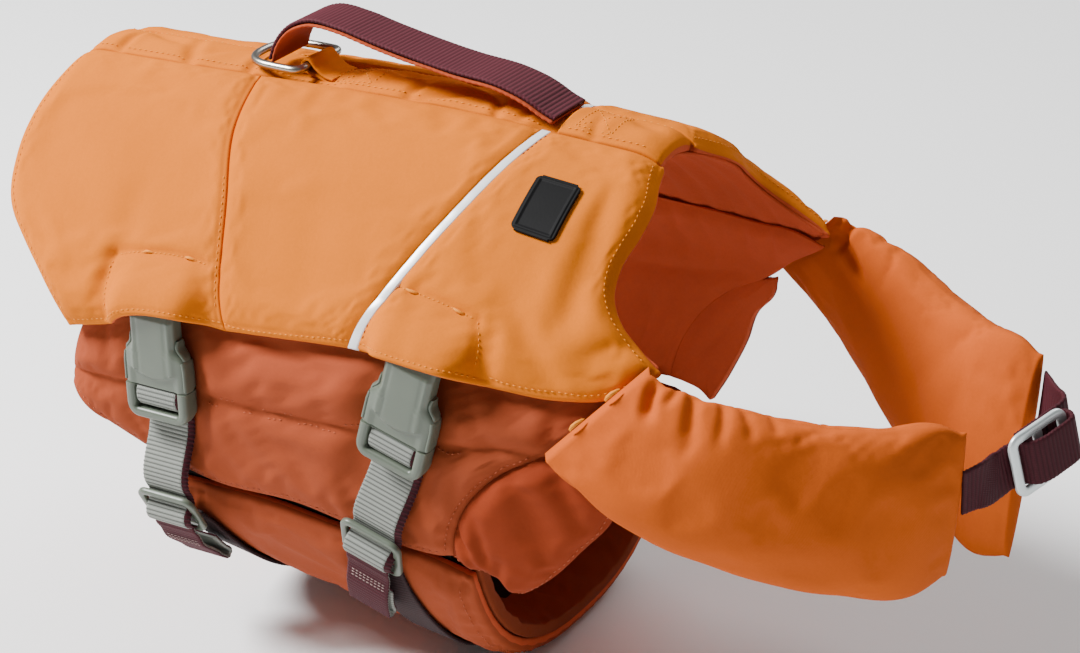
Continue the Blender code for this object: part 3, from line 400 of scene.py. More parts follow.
def side_top(x, g):
    """The side panel: flat where it is tucked under the shell, then two soft channels."""
    clear = np.clip((g - by_x(LOWER_EDGE, x) - 1) / 14, 0, 1)
    channel = ramp(np.abs(g - by_x(CREASE, x)), 11)
    lower = ramp(by_x(SIDE_LOWER[2:], x) - g, 12)
    rear = ramp(x - by_girth(SIDE_REAR, g), 14)
    seam = ramp(by_girth(GUSSET_SEAM, g) - x, 10)
    foam = (0.35 + 0.65 * channel * lower) * rear * (0.3 + 0.7 * seam)
    height = SIDE_TUCKED + (SIDE_FOAM - SIDE_TUCKED) * np.clip(foam, 0, 1) * clear
    return height + (PRESSED - height) * press(x, g)


def gusset_top(side, x, g):
    """The chest gusset of one side: plump in its middle, flat at its seam."""
    edge = ramp(x - by_girth(GUSSET_SEAM, g), 12)
    front = ramp(by_girth(GUSSET_FRONT[side], g) - x, 12)
    lower = ramp(by_x(GUSSET_LOWER[side], x) - g, 10)
    upper = ramp(g - 134, 16)
    foam = np.clip(edge * front * lower * upper, 0, 1)
    return SIDE_TUCKED + 1.5 * upper + (GUSSET_FOAM - SIDE_TUCKED) * foam


def belly_top(x, q):
    """The belly panel over x and q, which runs 0 to 1 from its right edge to its left one."""
    edges = ramp(np.minimum(q, 1 - q) * 2 * (FIG.half_girth(x) - by_x(BELLY_EDGE, x)), 16)
    ends = ramp(np.minimum(x - BELLY_REAR_X, BELLY_FRONT_X - x), 14)
    return BELLY_SEAM + (BELLY_FOAM - BELLY_SEAM) * edges * ends


# --- making meshes

def quads(a, b, c, d):
    return np.stack([a.ravel(), b.ravel(), c.ravel(), d.ravel()], 1)


def grid_quads(m, n, start=0, ring=False):
    """The quads of a grid of m by n points; as a ring, its second direction meets itself."""
    index = start + np.arange(m * n).reshape(m, n)
    if ring:
        index = np.concatenate([index, index[:, :1]], 1)
    return quads(index[:-1, :-1], index[1:, :-1], index[1:, 1:], index[:-1, 1:])


def tube_quads(m, n, near, facing):
    """The quads of a tube of m rings of n points. Each end closes with quads across it,
    between a row of the ring's points and the row that faces it."""
    faces = [grid_quads(m, n, ring=True)]
    for first in (0, (m - 1) * n):
        faces.append(quads(first + near[:-1], first + near[1:], first + facing[1:], first + facing[:-1]))
    return np.concatenate(faces)


def superellipse(count, power):
    """A ring's points (c, s) from -1 to 1: round for a power of 2, squarer above it."""
    turn = np.linspace(0, 2 * math.pi, count, endpoint=False) + math.pi / count
    c, s = np.cos(turn), np.sin(turn)
    reach = (np.abs(c) ** power + np.abs(s) ** power) ** (-1 / power)
    return c * reach, s * reach


def mesh_from(name, points, faces, uv):
    """A smooth-shaded mesh in metres from points in millimetres, quads and a UV in metres."""
    mesh = bpy.data.meshes.new(name)
    mesh.vertices.add(len(points))
    mesh.vertices.foreach_set("co", (np.asarray(points) * MM).astype(np.float32).ravel())
    mesh.loops.add(faces.size)
    mesh.loops.foreach_set("vertex_index", faces.astype(np.int32).ravel())
    mesh.polygons.add(len(faces))
    mesh.polygons.foreach_set("loop_start", np.arange(0, faces.size, 4, dtype=np.int32))
    mesh.update(calc_edges=True)
    layer = mesh.uv_layers.new(name="pattern")
    layer.data.foreach_set("uv", (np.asarray(uv)[faces.ravel()] * MM).astype(np.float32).ravel())
    mesh.shade_smooth()
    return mesh


def closed(mesh):
    """Merge what meets at a pole or seam, and turn every face outwards."""
    work = bmesh.new()
    work.from_mesh(mesh)
    bmesh.ops.remove_doubles(work, verts=work.verts, dist=1e-6)
    bmesh.ops.recalc_face_normals(work, faces=work.faces)
    if work.calc_volume(signed=True) < 0:
        bmesh.ops.reverse_faces(work, faces=work.faces)
    work.to_mesh(mesh)
    work.free()
    mesh.shade_smooth()
    return mesh


def piece(name, mesh, finish, *nodes, body=JACKET):
    """Link a mesh as a piece that rides on a body, stands for nodes and has a finish."""
    thing = bpy.data.objects.new(name, mesh)
    bpy.context.scene.collection.objects.link(thing)
    mesh.materials.clear()
    mesh.materials.append(finish)
    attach(thing, body)
    if nodes:
        present = [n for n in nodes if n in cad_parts]
        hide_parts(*present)
    return thing


def pillow(outer, inner, bulge, uv_outer, steps=5):
    """Points, quads and UV of a closed wall between an outer and an inner grid: the rim that
    joins them is half an ellipse, as deep as the wall is thick there and standing out by the
    bulge; its lower half has the inside's colour. The bulge is one number, or one each for the
    rear, front, upper and lower edge."""
    m, n = outer.shape[:2]
    size = m * n
    points = [outer.reshape(-1, 3), inner.reshape(-1, 3)]
    uv = [uv_outer.reshape(-1, 2), uv_outer.reshape(-1, 2) + (INSIDE, 0)]
    faces = [grid_quads(m, n), grid_quads(m, n, size)[:, ::-1]]
    rear, front, upper, lower = np.broadcast_to(bulge, 4)
    i, j = np.arange(m), np.arange(n)
    ring = np.concatenate([i[:-1] * n, (m - 1) * n + j[:-1], i[:0:-1] * n + n - 1, j[:0:-1]])
    inward = np.clip(ring // n, 1, m - 2) * n + np.clip(ring % n, 1, n - 2)
    stand = np.repeat([upper, front, lower, rear], [m - 1, n - 1, m - 1, n - 1])
    top, low = points[0][ring], points[1][ring]
    away = unit(top - points[0][inward]) * stand[:, None]
    before, last = ring, size + ring
    for k in range(1, steps + 1):
        turn = math.pi * k / (steps + 1)
        points.append((top + low) / 2 + (top - low) / 2 * math.cos(turn) + away * math.sin(turn))
        uv.append(uv[int(k > steps / 2)][ring])
        now = 2 * size + (k - 1) * len(ring) + np.arange(len(ring))
        faces.append(quads(np.roll(before, -1), before, now, np.roll(now, -1)))
        before = now
    faces.append(quads(np.roll(before, -1), before, last, np.roll(last, -1)))
    faces = np.concatenate(faces)
    points = np.concatenate(points)
    u, v = outer[1:, :-1] - outer[:-1, :-1], outer[:-1, 1:] - outer[:-1, :-1]
    lift = outer[:-1, :-1] - inner[:-1, :-1]
    if np.sum(np.cross(u, v) * lift) < 0:
        faces = faces[:, ::-1]
    return points, faces, np.concatenate(uv)


def wall(name, mesh_name, kind, node, outer, inner, bulge, uv, steps=5):
    """A closed wall between two grids, as a piece."""
    points, faces, places = pillow(outer, inner, bulge, uv, steps)
    return piece(name, mesh_from(mesh_name, points, faces, places), finish_of(kind), node)


def pattern(x, g):
    """The UV of a pattern grid, kept clear of its inside's."""
    return np.stack([x + PATTERN_START, g], -1)


def between_rows(count, fine):
    """The matrix that turns a column of count values into fine values by smooth cubics
    through them, whose slope at each value is half the step between its neighbours."""
    place = np.linspace(0, count - 1, fine)
    i = np.clip(place.astype(int), 0, count - 2)
    t = place - i
    matrix = np.zeros((fine, count))
    rows = np.arange(fine)
    for shift, share in ((-1, (-t + 2 * t ** 2 - t ** 3) / 2), (0, (2 - 5 * t ** 2 + 3 * t ** 3) / 2),
                         (1, (t + 4 * t ** 2 - 3 * t ** 3) / 2), (2, (t ** 3 - t ** 2) / 2)):
        np.add.at(matrix, (rows, np.clip(i + shift, 0, count - 1)), share)
    return matrix


COARSE = 3.4                # the simulated cloth's grid, in mm
FRAMES = 18                 # how long the cloth is let settle


def billow(points, held, surplus, push, reach):
    """How far stuffed cloth moves from its plain form: a coarser copy of the grid is sewn down
    where it is held, cut larger by the surplus and pushed out from inside in a cloth
    simulation, and the move is eased so that no point goes further than the reach."""
    span_u = np.linalg.norm(np.diff(points, axis=0), axis=2).sum(0).mean()
    span_v = np.linalg.norm(np.diff(points, axis=1), axis=2).sum(1).mean()
    m, n = max(8, int(span_u / COARSE)), max(8, int(span_v / COARSE))
    rows, columns = between_rows(points.shape[0], m), between_rows(points.shape[1], n)
    start = np.einsum("ia,abk,jb->ijk", rows, points, columns)
    weight = np.clip(rows @ held @ columns.T, 0, 1)
    mesh = mesh_from("billow", start.reshape(-1, 3), grid_quads(m, n), np.zeros((m * n, 2)))
    thing = bpy.data.objects.new("billow", mesh)
    bpy.context.scene.collection.objects.link(thing)
    pins = thing.vertex_groups.new(name="sewn")
    for level in np.unique(np.round(weight, 1)):
        if level > 0:
            pins.add(np.flatnonzero(np.round(weight.ravel(), 1) == level).tolist(), float(level), "REPLACE")
    cloth = thing.modifiers.new("cloth", "CLOTH")
    settings = cloth.settings
    settings.quality = 6
    settings.mass = 0.15
    settings.tension_stiffness = settings.compression_stiffness = 12
    settings.shear_stiffness = 4
    settings.bending_stiffness = 0.35
    settings.vertex_group_mass = "sewn"
    settings.use_pressure = True
    settings.uniform_pressure_force = push
    settings.shrink_min = -surplus
    settings.effector_weights.gravity = 0
    cloth.collision_settings.use_collision = False
    cloth.collision_settings.use_self_collision = False
    scene = bpy.context.scene
    cloth.point_cache.frame_end = FRAMES + 1
    for at in range(1, FRAMES + 1):
        scene.frame_set(at)
    shape = thing.evaluated_get(bpy.context.evaluated_depsgraph_get())
    end = np.zeros(m * n * 3, np.float32)
    shape.data.vertices.foreach_get("co", end)
    scene.frame_set(1)
    bpy.data.objects.remove(thing)
    bpy.data.meshes.remove(mesh)
    move = end.reshape(m, n, 3) / MM - start
    far = np.linalg.norm(move, axis=2, keepdims=True)
    move = move * np.tanh(far / reach) * reach / np.maximum(far, 1e-9)
    rows, columns = between_rows(m, points.shape[0]), between_rows(n, points.shape[1])
    return np.einsum("ia,abk,jb->ijk", rows, move, columns)


# --- finishes

class Nodes:
    """A short spelling for one material's node tree."""
    def __init__(self, name):
        self.material = bpy.data.materials.new(name)
        self.material.use_nodes = True
        self.tree = self.material.node_tree
        self.shader = self.tree.nodes["Principled BSDF"]

    def add(self, kind, out=0, settings=(), **sockets):
        """A node with its settings and sockets; a socket takes a number, a colour or another
        node's output. Sockets are named in lower case, or numbered as in0, in1."""
        node = self.tree.nodes.new("ShaderNode" + kind)
        for key, value in dict(settings).items():
            setattr(node, key, value)
        for key, value in sockets.items():
            if key.startswith("in") and key[2:].isdigit():
                socket = node.inputs[int(key[2:])]
            else:
                socket = next(s for s in node.inputs if s.name.lower().replace(" ", "_") == key and s.enabled)
            self.put(socket, value)
        return node.outputs[out]

    def put(self, socket, value):
        if isinstance(value, bpy.types.NodeSocket):
            self.tree.links.new(value, socket)
        elif isinstance(value, (tuple, list)) or hasattr(value, "r"):
            value = tuple(value)
            lacks_alpha = len(value) == 3 and len(socket.default_value) == 4
            socket.default_value = value + (1.0,) if lacks_alpha else value
        else:
            socket.default_value = value

    def math(self, operation, a, b=0.0, clamp=False):
        return self.add("Math", settings={"operation": operation, "use_clamp": clamp}, in0=a, in1=b)

    def times(self, a, b, clamp=False):
        return self.math("MULTIPLY", a, b, clamp)

    def plus(self, a, b):
        return self.math("ADD", a, b)

    def mix(self, share, a, b):
        return self.add("Mix", out=2, settings={"data_type": "RGBA"}, in0=share, in6=a, in7=b)

    def noise(self, where, size, detail=2.0, roughness=0.5, distortion=0.0):
        """Noise whose lumps are about size metres across, 0 to 1."""
        return self.add("TexNoise", vector=where, scale=1 / size, detail=detail, roughness=roughness,
                        distortion=distortion)

    def places(self):
        """Object coordinates, and the pattern's own u and v in metres."""
        found = self.tree.nodes.new("ShaderNodeTexCoord")
        split = self.tree.nodes.new("ShaderNodeSeparateXYZ")
        self.tree.links.new(found.outputs["UV"], split.inputs[0])
        return found.outputs["Object"], split.outputs[0], split.outputs[1]

    def bump(self, height, distance, strength=1.0, below=None):
        sockets = dict(strength=strength, distance=distance, height=height)
        if below is not None:
            sockets["normal"] = below
        return self.add("Bump", **sockets)

    def finish(self, **sockets):
        for key, value in sockets.items():
            self.put(self.shader.inputs[key.replace("_", " ").title().replace("Ior", "IOR")], value)
        return self.material


def shade(colour, by):
    """A colour made lighter (above 1) or darker."""
    return tuple(min(1.0, c * by) for c in tuple(colour)[:3])


def woven_cloth(name, colour, pitch=0.55, mottle=0.08, inside=None, roughness=0.85, crinkle=0.10):
    """Coated plain-weave cloth: threads pass over and under one another as the product of two
    sine waves over the pattern; its colour drifts a little and its surface crinkles softly. A
    wall's inside, whose pattern lies a metre further on, may have its own colour."""
    n = Nodes(name)
    place, u, v = n.places()
    k = 2 * math.pi / (pitch * MM)
    warp, weft = n.math("SINE", n.times(u, k)), n.math("SINE", n.times(v, k))
    weave = n.times(warp, weft)
    drift = n.noise(place, 0.045, 3.0)
    fleck = n.noise(place, 0.0012, 2.0)
    tone = n.plus(n.times(drift, 0.7), n.times(fleck, 0.3))
    tone = n.times(n.math("SUBTRACT", tone, 0.3), 2.5, clamp=True)
    base = n.mix(tone, shade(colour, 1 - mottle), shade(colour, 1 + mottle))
    if inside is not None:
        reverse = n.math("GREATER_THAN", u, 0.9)
        base = n.mix(reverse, base, n.mix(tone, shade(inside, 0.9), shade(inside, 1.1)))
    base = n.mix(n.times(n.plus(weave, 1.0), 0.08), base, shade(inside or colour, 0.7))
    soft = n.bump(n.noise(place, 0.009, 3.0, 0.55, 0.4), crinkle * MM * 8, 0.35)
    threads = n.bump(weave, 0.03 * MM, 0.6, below=soft)
    fuzz = n.bump(fleck, 0.05 * MM, 0.4, below=threads)
    return n.finish(base_color=base, roughness=roughness, normal=fuzz, specular_ior_level=0.08)


def ribbed_webbing(name, face, back, pitch, rib_shade=0.5, flecks=0.0, roughness=0.72):
    """Woven webbing: ribs across it that follow the pattern's length, with painted shade between
    them, each of fine yarns. The face and the reverse differ, by which half of the pattern they lie in."""
    n = Nodes(name)
    place, u, v = n.places()
    phase = n.times(v, math.pi / (pitch * MM))
    rib = n.math("POWER", n.math("ABSOLUTE", n.math("SINE", phase)), 0.6)
    yarn = n.math("SINE", n.plus(n.times(u, 2 * math.pi / (0.9 * MM)), phase))
    speck = n.noise(place, 0.0007, 2.0)
    reverse = n.math("GREATER_THAN", u, 0.5)
    colour = n.mix(reverse, tuple(face)[:3], tuple(back)[:3])
    light = n.times(n.math("SUBTRACT", speck, 0.42), 2.0 + 3.0 * flecks, clamp=True)
    colour = n.mix(n.times(light, 0.25 + flecks), colour, n.mix(reverse, shade(face, 1.5), shade(back, 1.7)))
    # painted shade: the colour is darker between the ribs, where their hollows would be shaded
    dark = n.times(n.math("SUBTRACT", 1.0, rib), rib_shade, clamp=True)
    colour = n.mix(dark, colour, n.mix(reverse, shade(face, 0.2), shade(back, 0.3)))
    normal = n.bump(n.times(yarn, rib), 0.08 * MM, 0.6)
    normal = n.bump(speck, 0.10 * MM, 0.5, below=normal)
    return n.finish(base_color=colour, roughness=roughness, normal=normal, specular_ior_level=0.2)


def moulded_plastic(name, colour, roughness=0.38):
    """Moulded nylon: a faint grain, a drift of tone, and a painted highlight that makes sharp edges a little
    lighter.
    """
    n = Nodes(name)
    place = n.places()[0]
    edge = n.add("NewGeometry", out="Pointiness")
    # painted highlight: sharp edges are made lighter, as if they caught the light
    edge_highlight = n.times(n.math("SUBTRACT", edge, 0.53), 5.0, clamp=True)
    tone = n.mix(n.noise(place, 0.012, 3.0), shade(colour, 0.93), shade(colour, 1.07))
    base = n.mix(edge_highlight, tone, shade(colour, 1.35))
    scuff = n.noise(place, 0.0025, 4.0, 0.6)
    rough = n.plus(roughness - 0.06, n.times(scuff, 0.14))
    grain = n.bump(n.noise(place, 0.0004, 2.0), 0.02 * MM, 0.5)
    return n.finish(base_color=base, roughness=rough, normal=grain, specular_ior_level=0.5)


def satin_metal(name, colour, roughness=0.3, scratch=0.5, metallic=1.0):
    """Brushed or cast metal: fine streaks and dents under a satin shine."""
    n = Nodes(name)
    place = n.places()[0]
    streak = n.noise(place, 0.0009, 5.0, 0.7, 1.5)
    base = n.mix(streak, shade(colour, 0.86), shade(colour, 1.08))
    rough = n.plus(roughness - 0.08, n.times(streak, 0.2))
    return n.finish(base_color=base, metallic=metallic, roughness=rough,
                    normal=n.bump(streak, 0.02 * MM, scratch))


def rubber_skin(name, colour):
    """Soft moulded rubber: matt, with a fine pebbled grain."""
    n = Nodes(name)
    place = n.places()[0]
    grain = n.add("TexVoronoi", vector=place, scale=1 / 0.0011)
    base = n.mix(n.noise(place, 0.006, 2.0), shade(colour, 0.85), shade(colour, 1.2))
    return n.finish(base_color=base, roughness=0.62, normal=n.bump(grain, 0.05 * MM, 0.35),
                    specular_ior_level=0.1)


def reflective_tape(name, colour):
    """Reflective tape: bright, with glass beads as a very fine grain."""
    n = Nodes(name)
    place = n.places()[0]
    bead = n.noise(place, 0.0005, 1.0)
    base = n.mix(n.noise(place, 0.01, 2.0), shade(colour, 0.94), shade(colour, 1.03))
    return n.finish(base_color=base, roughness=0.32, metallic=0.15, normal=n.bump(bead, 0.02 * MM, 0.5),
                    coat_weight=0.3, coat_roughness=0.3)


# --- what the user may change

def srgb(r, g, b):
    """A colour given as 0-255 screen values, as scene values."""
    return tuple(((c / 255 + 0.055) / 1.055) ** 2.4 if c > 10 else c / 255 / 12.92 for c in (r, g, b))


def colour_of(name, about, default):
    return bpy.props.FloatVectorProperty(name=name, description=about, subtype="COLOR", size=3, min=0, max=1,
                                         default=default)


def length_of(name, about, default, low=0.0, high=0.1):
    return bpy.props.FloatProperty(name=name, description=about, default=default, min=low, max=high,
                                   subtype="DISTANCE", unit="LENGTH", precision=5)


class JacketCloth(bpy.types.PropertyGroup):
    # painted shade: the pads' colour is the back panels' orange cloth made darker and redder for the shade
    # the pads hang in
    pads: colour_of("Pads", "Colour of the neck pads", srgb(189, 86, 26))
    orange: colour_of("Orange", "Colour of the back panels", srgb(204, 108, 3))
    rust: colour_of("Rust", "Colour of the side panels and the belly panel", srgb(142, 65, 38))
    # painted shade: this is the orange cloth darkened for the shadow that the chest gussets lie in, under the
    # neck pads
    deep_orange: colour_of("Deep orange", "Colour of the chest gussets and the handle's backing",
                           srgb(124, 47, 22))
    lining: colour_of("Lining", "Colour of the lining inside the back", srgb(192, 84, 50))
    inside: colour_of("Dark lining", "Colour of the belly panel's lining", srgb(34, 33, 30))
    weave: length_of("Weave", "Distance between two threads of the cloth", 0.00055, 0.0001, 0.005)
    crease: bpy.props.FloatProperty(name="Creases", description="Depth of the creases, 1 for the usual",
                                    default=1.0, min=0, max=2, subtype="FACTOR")
    surplus: bpy.props.FloatProperty(name="Surplus",
                                     description="How much larger the cloth is cut than its foam",
                                     default=0.012, min=0, max=0.1, subtype="FACTOR")


class JacketWebbing(bpy.types.PropertyGroup):
    plum: colour_of("Plum", "Colour of the plum webbing", srgb(68, 22, 31))
    grey: colour_of("Grey", "Colour of the light webbing's face", srgb(138, 141, 134))
    # painted shade: the plum webbing under the belly is given this darker colour for the shade it lies in;
    # the inner tape is also made in it
    dark: colour_of("Dark", "Colour of the webbing under the belly", srgb(44, 26, 28))
    thickness: length_of("Thickness", "Thickness of the webbing", 0.0016, 0.0005, 0.005)
    side_width: length_of("Side width", "Width of the side and chest straps", 0.020, 0.01, 0.04)
    handle_width: length_of("Handle width", "Width of the handle", 0.025, 0.01, 0.04)
    rib: length_of("Rib pitch", "Distance between two ribs of the side straps", 0.0018, 0.0005, 0.005)
    handle_rib: length_of("Handle rib pitch", "Distance between two ribs of the handle",
                          0.0019, 0.0005, 0.005)


class JacketHardware(bpy.types.PropertyGroup):
    plastic: colour_of("Plastic", "Colour of the buckles and sliders", srgb(84, 92, 79))
    slider: colour_of("Chest slider", "Colour of the chest strap's metal slider", srgb(222, 230, 230))
    ring: colour_of("D-ring", "Colour of the D-ring", srgb(170, 166, 158))
    label: colour_of("Label", "Colour of the rubber label", srgb(13, 13, 14))
    wire: length_of("Ring wire", "Thickness of the D-ring's wire", 0.0034, 0.001, 0.006)


class JacketSewing(bpy.types.PropertyGroup):
    thread: colour_of("Thread", "Colour of the stitches on orange cloth", srgb(222, 132, 30))
    dark_thread: colour_of("Dark thread", "Colour of the stitches beside the piping", srgb(128, 48, 10))
    rust_thread: colour_of("Rust thread", "Colour of the stitches on rust cloth", srgb(168, 82, 50))
    pale_thread: colour_of("Pale thread", "Colour of the stitches on the straps' tails", srgb(164, 140, 134))
    piping: colour_of("Piping", "Colour of the reflective piping", srgb(232, 234, 236))
    pitch: length_of("Stitch pitch", "Length of a stitch and its gap", 0.0030, 0.001, 0.01)
    thickness: length_of("Thread thickness", "Thickness of the thread", 0.0005, 0.0001, 0.002)


class JacketStage(bpy.types.PropertyGroup):
    floor: colour_of("Floor", "Colour of the floor", (0.96, 0.96, 0.96))
    azimuth: bpy.props.FloatProperty(name="Azimuth", description="Where the camera stands round the jacket",
                                     default=math.radians(30), subtype="ANGLE", unit="ROTATION")
    elevation: bpy.props.FloatProperty(name="Elevation", description="How high the camera looks down",
                                       default=math.radians(25), subtype="ANGLE", unit="ROTATION")
    distance: length_of("Camera distance", "From the camera to the middle of its picture", 1.05, 0.1, 10.0)
    lens: bpy.props.FloatProperty(name="Lens", description="The camera's focal length", default=85.0, min=10,
                                  max=300, subtype="DISTANCE_CAMERA", unit="CAMERA")


GROUPS = {"jacket_cloth": JacketCloth, "jacket_webbing": JacketWebbing, "jacket_hardware": JacketHardware,
          "jacket_sewing": JacketSewing, "jacket_stage": JacketStage}


def choice(group):
    return getattr(bpy.context.scene, "jacket_" + group)


def finish_of(kind):
    """The finish of a kind, made the first time that it is asked for."""
    found = bpy.data.materials.get("finish_" + kind)
    if found:
        return found
    cloth, web, hard, sew = choice("cloth"), choice("webbing"), choice("hardware"), choice("sewing")
    pitch = cloth.weave / MM
    name = "finish_" + kind
    rib, lining = web.rib / MM, tuple(cloth.lining)
    makers = {
        "orange": (woven_cloth, cloth.orange, pitch, 0.08, lining),
        "rust": (woven_cloth, cloth.rust, pitch, 0.08, lining),
        # the gussets' colour holds painted shade
        "deep_orange": (woven_cloth, cloth.deep_orange, pitch, 0.08, lining),
        "lining": (woven_cloth, cloth.lining, pitch, 0.12),
        # painted shade: the handle's backing is the lining cloth darkened for the shade on the handle's
        # underside
        "backing": (woven_cloth, shade(cloth.lining, 0.7), pitch),
        # the pads' colour holds painted shade
        "pads": (woven_cloth, cloth.pads, pitch),
        "loop": (woven_cloth, cloth.orange, pitch),
        "facing": (woven_cloth, shade(cloth.rust, 0.7), pitch),
        "inside": (woven_cloth, cloth.inside, pitch * 1.4, 0.2),
        "plum": (ribbed_webbing, web.plum, web.plum, rib, 0.6, 0.05),
        # painted light: the handle's face is the plum webbing made lighter, for the light that falls on it on
        # top of the jacket
        "handle": (ribbed_webbing, shade(web.plum, 1.4), web.plum, web.handle_rib / MM, 0.6, 0.05),
        "tail": (ribbed_webbing, web.plum, web.grey, rib, 0.6, 0.05),
        "grey": (ribbed_webbing, web.grey, web.plum, rib, 1.15),
        # the belly webbing's colour holds painted shade
        "dark": (ribbed_webbing, web.dark, web.dark, rib, 0.7, 0.02),
        "plastic": (moulded_plastic, hard.plastic),
        "slider_metal": (satin_metal, hard.slider, 0.36, 0.5, 0.45),
        "ring_metal": (satin_metal, hard.ring, 0.3, 0.8),
        "rubber": (rubber_skin, hard.label),
        "piping": (reflective_tape, sew.piping),
        "floor": (floor_finish, choice("stage").floor)}
    make, *given = makers.get(kind) or (thread_finish, getattr(sew, kind))
    return make(name, *given)


THREAD_SCREW = 9000.0       # the thread's twist, in radians a metre


def thread_finish(name, colour):
    """Twisted thread: a fine screw along each stitch, with painted shade in the grooves between its plies and
    a painted highlight on their crests.
    """
    n = Nodes(name)
    u, v = n.places()[1:]
    ply = n.math("SINE", n.plus(n.times(u, THREAD_SCREW), n.times(v, THREAD_SCREW)))
    # painted shade and highlight: darker where the plies dip, lighter on their crests
    base = n.mix(n.times(n.plus(ply, 1.0), 0.5), shade(colour, 0.8), shade(colour, 1.1))
    twist = n.bump(ply, 0.05 * MM, 0.5)
    return n.finish(base_color=base, roughness=0.6, normal=twist, specular_ior_level=0.2)


def floor_finish(name, colour):
    """A plain pale studio floor."""
    n = Nodes(name)
    return n.finish(base_color=(*tuple(colour), 1.0), roughness=0.9)


# --- the back shell

def on_jacket(x, g, side, distance):
    return FIG.out(x, np.asarray(g) * SIDES[side], distance)


def shell_grids():
    """The pattern grids of a side's three back panels, with the inset that their rims need."""
    half = PIPE_WIDTH / 2 + GAP / 2
    seam_x, pipe_x = REAR_SEAM[-1][0], PIPING[-1][0]
    tops = [float(by_girth(edge, STRIP_EDGE)) for edge in (REAR_HEM, REAR_SEAM, PIPING, NECK_EDGE)]
    pipe, seam, neck = (cut(edge, STRIP_EDGE, edge[-1][1]) for edge in (PIPING, REAR_SEAM, NECK_EDGE))
    rear = cut(REAR_HEM, STRIP_EDGE, LOWER_EDGE[0][1])
    tight, hem = SEAM_BULGE + 0.1, HEM_BULGE

    def grid(kind, start, end, low_start, low_end, behind, before, inset):
        top = [(start, STRIP_EDGE), ((start + end) / 2, STRIP_EDGE), (end, STRIP_EDGE)]
        return patch(top, cut(LOWER_EDGE, low_start, low_end, 0), behind, before, *GRIDS[kind], inset)
    return {
        "rear": grid("rear", tops[0], tops[1], LOWER_EDGE[0][0], seam_x, rear, seam,
                     (hem, tight, tight, hem)),
        "middle": grid("middle", tops[1], tops[2] - half, seam_x, pipe_x - half, seam,
                       shifted(pipe, -half), (tight, SEAM_BULGE, tight, hem)),
        "shoulder": grid("shoulder", tops[2] + half, tops[3], pipe_x + half, NECK_EDGE[-1][0],
                         shifted(pipe, half), neck, (SEAM_BULGE, hem, tight, hem))}


# creases of the back shell: x, g, length, turn in degrees from +x, depth (a ridge below zero), half width
SHELL_CREASES = [(130, 63, 60, 84, 2.8, 8), (100, 82, 40, 52, 0.6, 9), (122, 100, 40, 40, 1.1, 6),
                 (150, 92, 24, -35, 1.1, 5), (142, 104, 26, -10, 0.9, 5), (74, 104, 30, 78, 0.5, 6),
                 (107, 107, 26, 82, 1.7, 5), (112, 24, 30, 20, 0.5, 6), (60, 22, 60, 6, 0.5, 7),
                 (4, 20, 60, -4, 0.4, 8), (-22, 110, 22, 52, 1.0, 5), (-74, 112, 24, 100, 1.1, 4),
                 (-70, 88, 34, 84, 0.5, 9), (-118, 98, 36, 40, 0.6, 9), (-128, 50, 50, 80, 0.4, 10),
                 (-98, 24, 44, 12, 0.4, 8), (18, 106, 40, 10, 0.4, 8), (-10, 70, 60, 68, 0.4, 12)]


# the lines that sew the tunnel over each strap, as rows of (x, g): across its top, then down its side
TACK_LINES = {
    "rear": ([(-72, 101.5), (-60, 99.5), (-44, 98.5), (-30, 99.0), (-24, 99.8)],
             [(-72, 101.5), (-72.5, 112), (-71, 124)]),
    "front": ([(60, 92.5), (72, 93.5), (86, 95.0), (99, 96.8)], [(99, 96.8), (102.5, 104), (104.5, 114)])}


def near_line(x, g, line):
    """The distance of each pattern point from a row of straight stretches."""
    far = np.full(np.shape(x), 1e9)
    for (x0, g0), (x1, g1) in zip(line[:-1], line[1:]):
        span = (x1 - x0) ** 2 + (g1 - g0) ** 2
        t = np.clip(((x - x0) * (x1 - x0) + (g - g0) * (g1 - g0)) / span, 0, 1)
        far = np.minimum(far, np.hypot(x - x0 - t * (x1 - x0), g - g0 - t * (g1 - g0)))
    return far


def shell_relief(kind, side, x, g, edges):
    """What lies over a back panel's plain form: creases, puckers along its seams and hems,
    furrows under its topstitching and round the tack lines."""
    rear, front, upper, lower = edges
    seed = len(kind) * 7 + SIDES[side] * 3
    height = creases(side_table(SHELL_CREASES, side), x, g) * choice("cloth").crease
    clear = np.exp(-((x - 107) / 17) ** 6 - ((g - 49) / 20) ** 6) if side == "right" else 0
    height *= 1 - clear
    height += puckers(lower, x, 0.16, 11, 5, seed) + puckers(upper, x, 0.22, 15, 7, seed + 1)
    height += puckers(front, g, 0.12, 11, 4, seed + 2) + puckers(rear, g, 0.12, 12, 4, seed + 3)
    height += groove(lower, 1.2, 0.3, 0.8)
    if kind == "rear":
        height += groove(rear, 3.2, 0.35, 1.0) + groove(front, 1.5, 0.25, 0.8)
    if kind == "shoulder":
        height += groove(front, 0.6, 0.25, 0.8) - 1.9 * (1 - ramp(front, 17)) ** 2 * ramp(upper, 14)
    for place in STRAPS:
        for line in TACK_LINES[place]:
            away = near_line(x, g, line)
            height -= 1.1 * np.exp(-(away / 1.8) ** 2)
            height += 0.2 * np.exp(-((away - 6) / 4) ** 2) * uneven(x + 2 * g, 17, seed + 5)
    return height


def sewn_down(edges, reach):
    """1 where a panel is held at its edges, falling to 0 in its middle."""
    return np.exp(-(np.minimum.reduce(edges) / reach) ** 2)


def padded_panel(node, kind, grid, outer, inner, bulge, held, reach, push, loose):
    """A stuffed panel: its outside moved by the cloth simulation, closed with a round rim."""
    outer = outer + billow(outer, held, choice("cloth").surplus * loose, push, reach)
    name = node + "_cloth"
    made = wall(name, name, kind, node, outer, inner, bulge, pattern(*grid))


